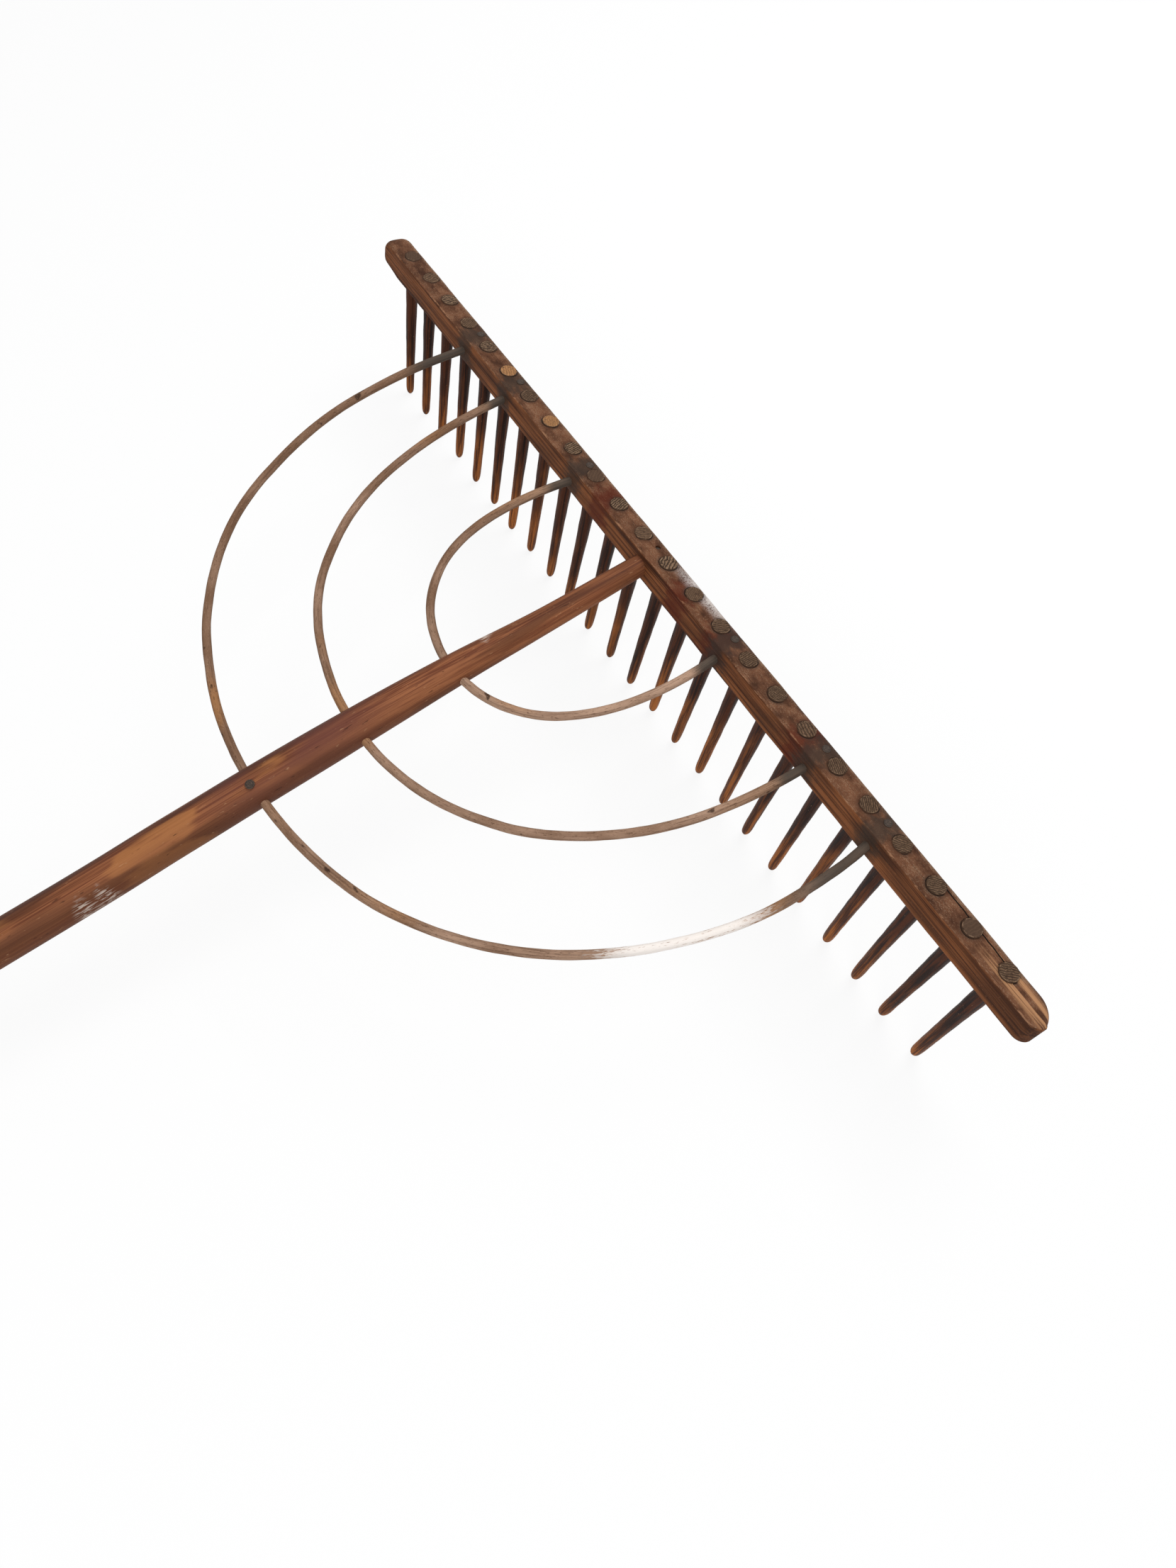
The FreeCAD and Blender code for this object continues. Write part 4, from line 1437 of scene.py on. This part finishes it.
# -------------------------------------------------------------------- studio
@dataclass
class Studio:
    """Pale floor, soft light and the camera."""

    floor_side: float = 9.0
    camera_place: tuple[float, float, float] = (0.475768, 0.454578, 0.881750)
    heading: float = 57.33
    tip_down: float = 27.497
    roll: float = 0.64
    lens: float = 24.934
    film_height: float = 36.0
    target: tuple[float, float, float] = (0, 0.7, 0.1)
    floor_shade: Colour = (0.86, 0.86, 0.86)
    floor_glow: float = 0.86
    sky_tint: Colour = (0.98, 0.99, 1)
    ambient: float = 0.52
    lamps: tuple[tuple[str, tuple[float, float, float], float, float], ...] = (
        ("window", (-0.4, 2.1, 2.5), 45, 1.4),
        ("fill", (1.5, -0.8, 2.2), 32, 2.0),
    )

    def floor(self) -> None:
        """Lay the floor, which keeps a faint shadow."""
        half = self.floor_side / 2
        mesh = bpy.data.meshes.new("floor")
        corners = [(-half, -half, 0), (half, -half, 0), (half, half, 0), (-half, half, 0)]
        mesh.from_pydata(corners, [], [(0, 1, 2, 3)])
        floor = new_object("floor", mesh)
        material = bpy.data.materials.new("floor_pale")
        sheet = NodeSheet.emptied(material)
        paint = sheet.add("ShaderNodeBsdfDiffuse", None, {"Color": (*self.floor_shade, 1)})
        glow = sheet.add("ShaderNodeEmission", None, {"Color": (1, 1, 1, 1), "Strength": 1.0})
        blend = sheet.add("ShaderNodeMixShader", None, {0: self.seen(sheet) * self.floor_glow, 1: paint, 2: glow})
        sheet.end("ShaderNodeOutputMaterial", blend)
        mesh.materials.append(material)

    @staticmethod
    def seen(sheet: NodeSheet) -> Wire:
        """1 where the eye, a gloss or a clear body looks straight at it."""
        path = sheet.add("ShaderNodeLightPath", None, None, "Is Camera Ray")
        gloss, clear = sheet.outputs(path, "Is Glossy Ray"), sheet.outputs(path, "Is Transmission Ray")
        return path.call("MAXIMUM", gloss).call("MAXIMUM", clear)

    def sky(self) -> None:
        """Hang a white surround that lights the scene softly."""
        world = bpy.data.worlds.new("soft_sky")
        sheet = NodeSheet.emptied(world)
        ambient = sheet.add("ShaderNodeBackground", None, {"Color": (*self.sky_tint, 1), "Strength": self.ambient})
        white = sheet.add("ShaderNodeBackground", None, {"Color": (1, 1, 1, 1), "Strength": 1.0})
        blend = sheet.add("ShaderNodeMixShader", None, {0: self.seen(sheet), 1: ambient, 2: white})
        sheet.end("ShaderNodeOutputWorld", blend)
        bpy.context.scene.world = world

    def lamp(self, name: str, place: Vector, power: float, size: float) -> None:
        """Hang one soft lamp that points at the rake.

        Args:
            name: The lamp's name.
            place: Where it hangs.
            power: Its power in watts.
            size: Its side in metres.
        """
        data = bpy.data.lights.new(name, "AREA")
        data.energy, data.size = power, size
        lamp = bpy.data.objects.new(name, data)
        lamp.location = place
        lamp.rotation_euler = (Vector(self.target) - place).to_track_quat("-Z", "Y").to_euler()
        bpy.context.scene.collection.objects.link(lamp)

    def camera(self) -> None:
        """Set the camera up."""
        data = bpy.data.cameras.new("view")
        data.sensor_fit = "VERTICAL"
        data.sensor_height, data.lens, data.clip_start = self.film_height, self.lens, 0.01
        camera = bpy.data.objects.new("view", data)
        place = Matrix.Translation(self.camera_place)
        for degrees, axis in ((self.heading, "Z"), (self.tip_down, "X"), (self.roll, "Z")):
            place = place @ Matrix.Rotation(math.radians(degrees), 4, axis)
        camera.matrix_world = place
        bpy.context.scene.collection.objects.link(camera)
        bpy.context.scene.camera = camera

    def build(self) -> None:
        """Set the whole stage."""
        self.floor()
        self.sky()
        for name, place, power, size in self.lamps:
            self.lamp(name, Vector(place), power, size)
        self.camera()
        bpy.context.scene.view_settings.view_transform = "Standard"


# ---------------------------------------------------------------------- rake
@dataclass
class HayRake:
    """The whole rake, in its sub-assemblies."""

    head: HeadBar
    tines: TineRow
    handle: HandleBar
    bows: BowSet
    nail_setback: float = 0.0025
    nail_lift: float = 0.00005
    foot_nail: tuple[float, float] = (0.0035, 0.0195)
    tenon_nail: tuple[float, float] = (0.0023, 0.0155)
    tenon_nail_sink: float = 0.00255
    handle_nail: tuple[float, float] = (0.0038, 0.0265)
    handle_nail_roll: float = 14.0
    handle_nail_sink: float = 0.0002

    def nail_seats(self, frames: RakeFrames) -> list[NailSeat]:
        """Every nail's seat, in the row frame.

        Args:
            frames: The rake's frames.

        Returns:
            The seats.
        """
        seats = []
        upright = Vector(frames.head.to_euler())
        droop = frames.head.col[1].xyz.angle(-frames.bow.col[2].xyz)
        depth = (self.head.depth / 2 + self.nail_setback) / math.cos(droop)
        for bow in self.bows.bows:
            for side in (-1, 1):
                place = frames.head @ Vector((bow.foot_x(side, depth), self.nail_setback, self.nail_lift))
                seats.append(NailSeat("bow_nail_%d" % (len(seats) + 1), place, upright, *self.foot_nail))
        place = frames.head @ Vector((0, self.nail_setback, -self.tenon_nail_sink))
        seats.append(NailSeat("tenon_nail", place, upright, *self.tenon_nail))
        roll = Matrix.Rotation(-math.radians(self.handle_nail_roll), 4, "Z")
        seat = frames.handle @ Matrix.Translation((0, 0, self.bows.bows[-1].reach)) @ roll
        lift = Matrix.Translation((0, self.handle.grip_radius - self.handle_nail_sink, 0))
        seat = seat @ lift @ Matrix.Rotation(-math.pi / 2, 4, "X")
        return [*seats, NailSeat("handle_nail", seat.translation, Vector(seat.to_euler()), *self.handle_nail)]

    def build(self, frames: RakeFrames) -> None:
        """Make every piece of the rake."""
        seats = self.nail_seats(frames)
        irons = tuple(round((frames.head.inverted() @ seat.place).x, 4) for seat in seats[:6])
        tines = self.tines
        finish = HeadFinish(tines.pitch, len(tines.tops), tines.top_radius, self.head.depth, irons)
        self.head.build(frames, finish)
        tines.build(frames, TineFinish())
        self.bows.build(frames, BowFinish())
        self.handle.build(frames, HandleFinish())
        NailSet(seats).build(IronFinish())


def peg_tops() -> list[PegTop]:
    """The pegs' tops, from the bullet end to the square end.

    Returns:
        The tops.
    """
    dark, faint, ridged, orange, brown = PegTone
    rows = (
        (dark, 60, 0.5), (faint, 20, 0.6), (ridged, -42, 1.0), (faint, 30, 0.7), (ridged, -40, 0.9, 3.0),
        (orange, 70, 0.9), (brown, 15, 1.0, 1.5), (orange, 55, 1.3), (ridged, 10, 0.8), (dark, 40, 0.6),
        (ridged, 20, 0.8), (faint, -30, 0.7), (ridged, 35, 0.9, -1.5), (faint, 80, 0.8, -3.0),
        (brown, -20, 0.9), (brown, 5, 0.9), (brown, -65, 1.0), (brown, 75, 1.0, -3.0), (brown, 70, 1.1, -2.0),
        (brown, 60, 1.1, -3.5), (brown, -50, 1.1), (brown, -45, 1.2), (dark, 0, 1.2), (brown, -40, 1.3),
    )
    return [PegTop(*row) for row in rows]


def bow_set() -> BowSet:
    """The three bows, from the inner one out.

    Returns:
        The bows.
    """
    inner = BowSide(12.0, 0.86, 0.46, 0.28, 0.014), BowSide(3.5, 0.74, 0.54, 0.58, 0.014)
    middle = BowSide(3.5, 0.77, 0.48, 0.24, 0.012), BowSide(-0.5, 0.62, 0.57, 0.38, 0.020)
    outer = BowSide(10.0, 0.70, 0.58, 0.20, 0.042), BowSide(9.5, 0.40, 0.80, 0.36, 0.085)
    return BowSet(
        [
            Bow("bow_inner", 0.1121, 0.182, 6.0, *inner, 1),
            Bow("bow_middle", 0.23028, 0.274, 2.5, *middle, 2),
            Bow("bow_outer", 0.30704, 0.366, 3.0, *outer, 3, 0.36),
        ]
    )


def main() -> None:
    """Build the rake and its stage, in order."""
    logging.basicConfig(level=logging.INFO, format="%(name)s: %(message)s")
    Studio().build()
    head = HeadBar()
    rake = HayRake(head, TineRow(peg_tops()), HandleBar(), bow_set())
    rake.build(RakeFrames.from_record(frame["record"], head))
    log.info("finished with %d pegs", len(rake.tines.tops))


if __name__ == "__main__":
    main()
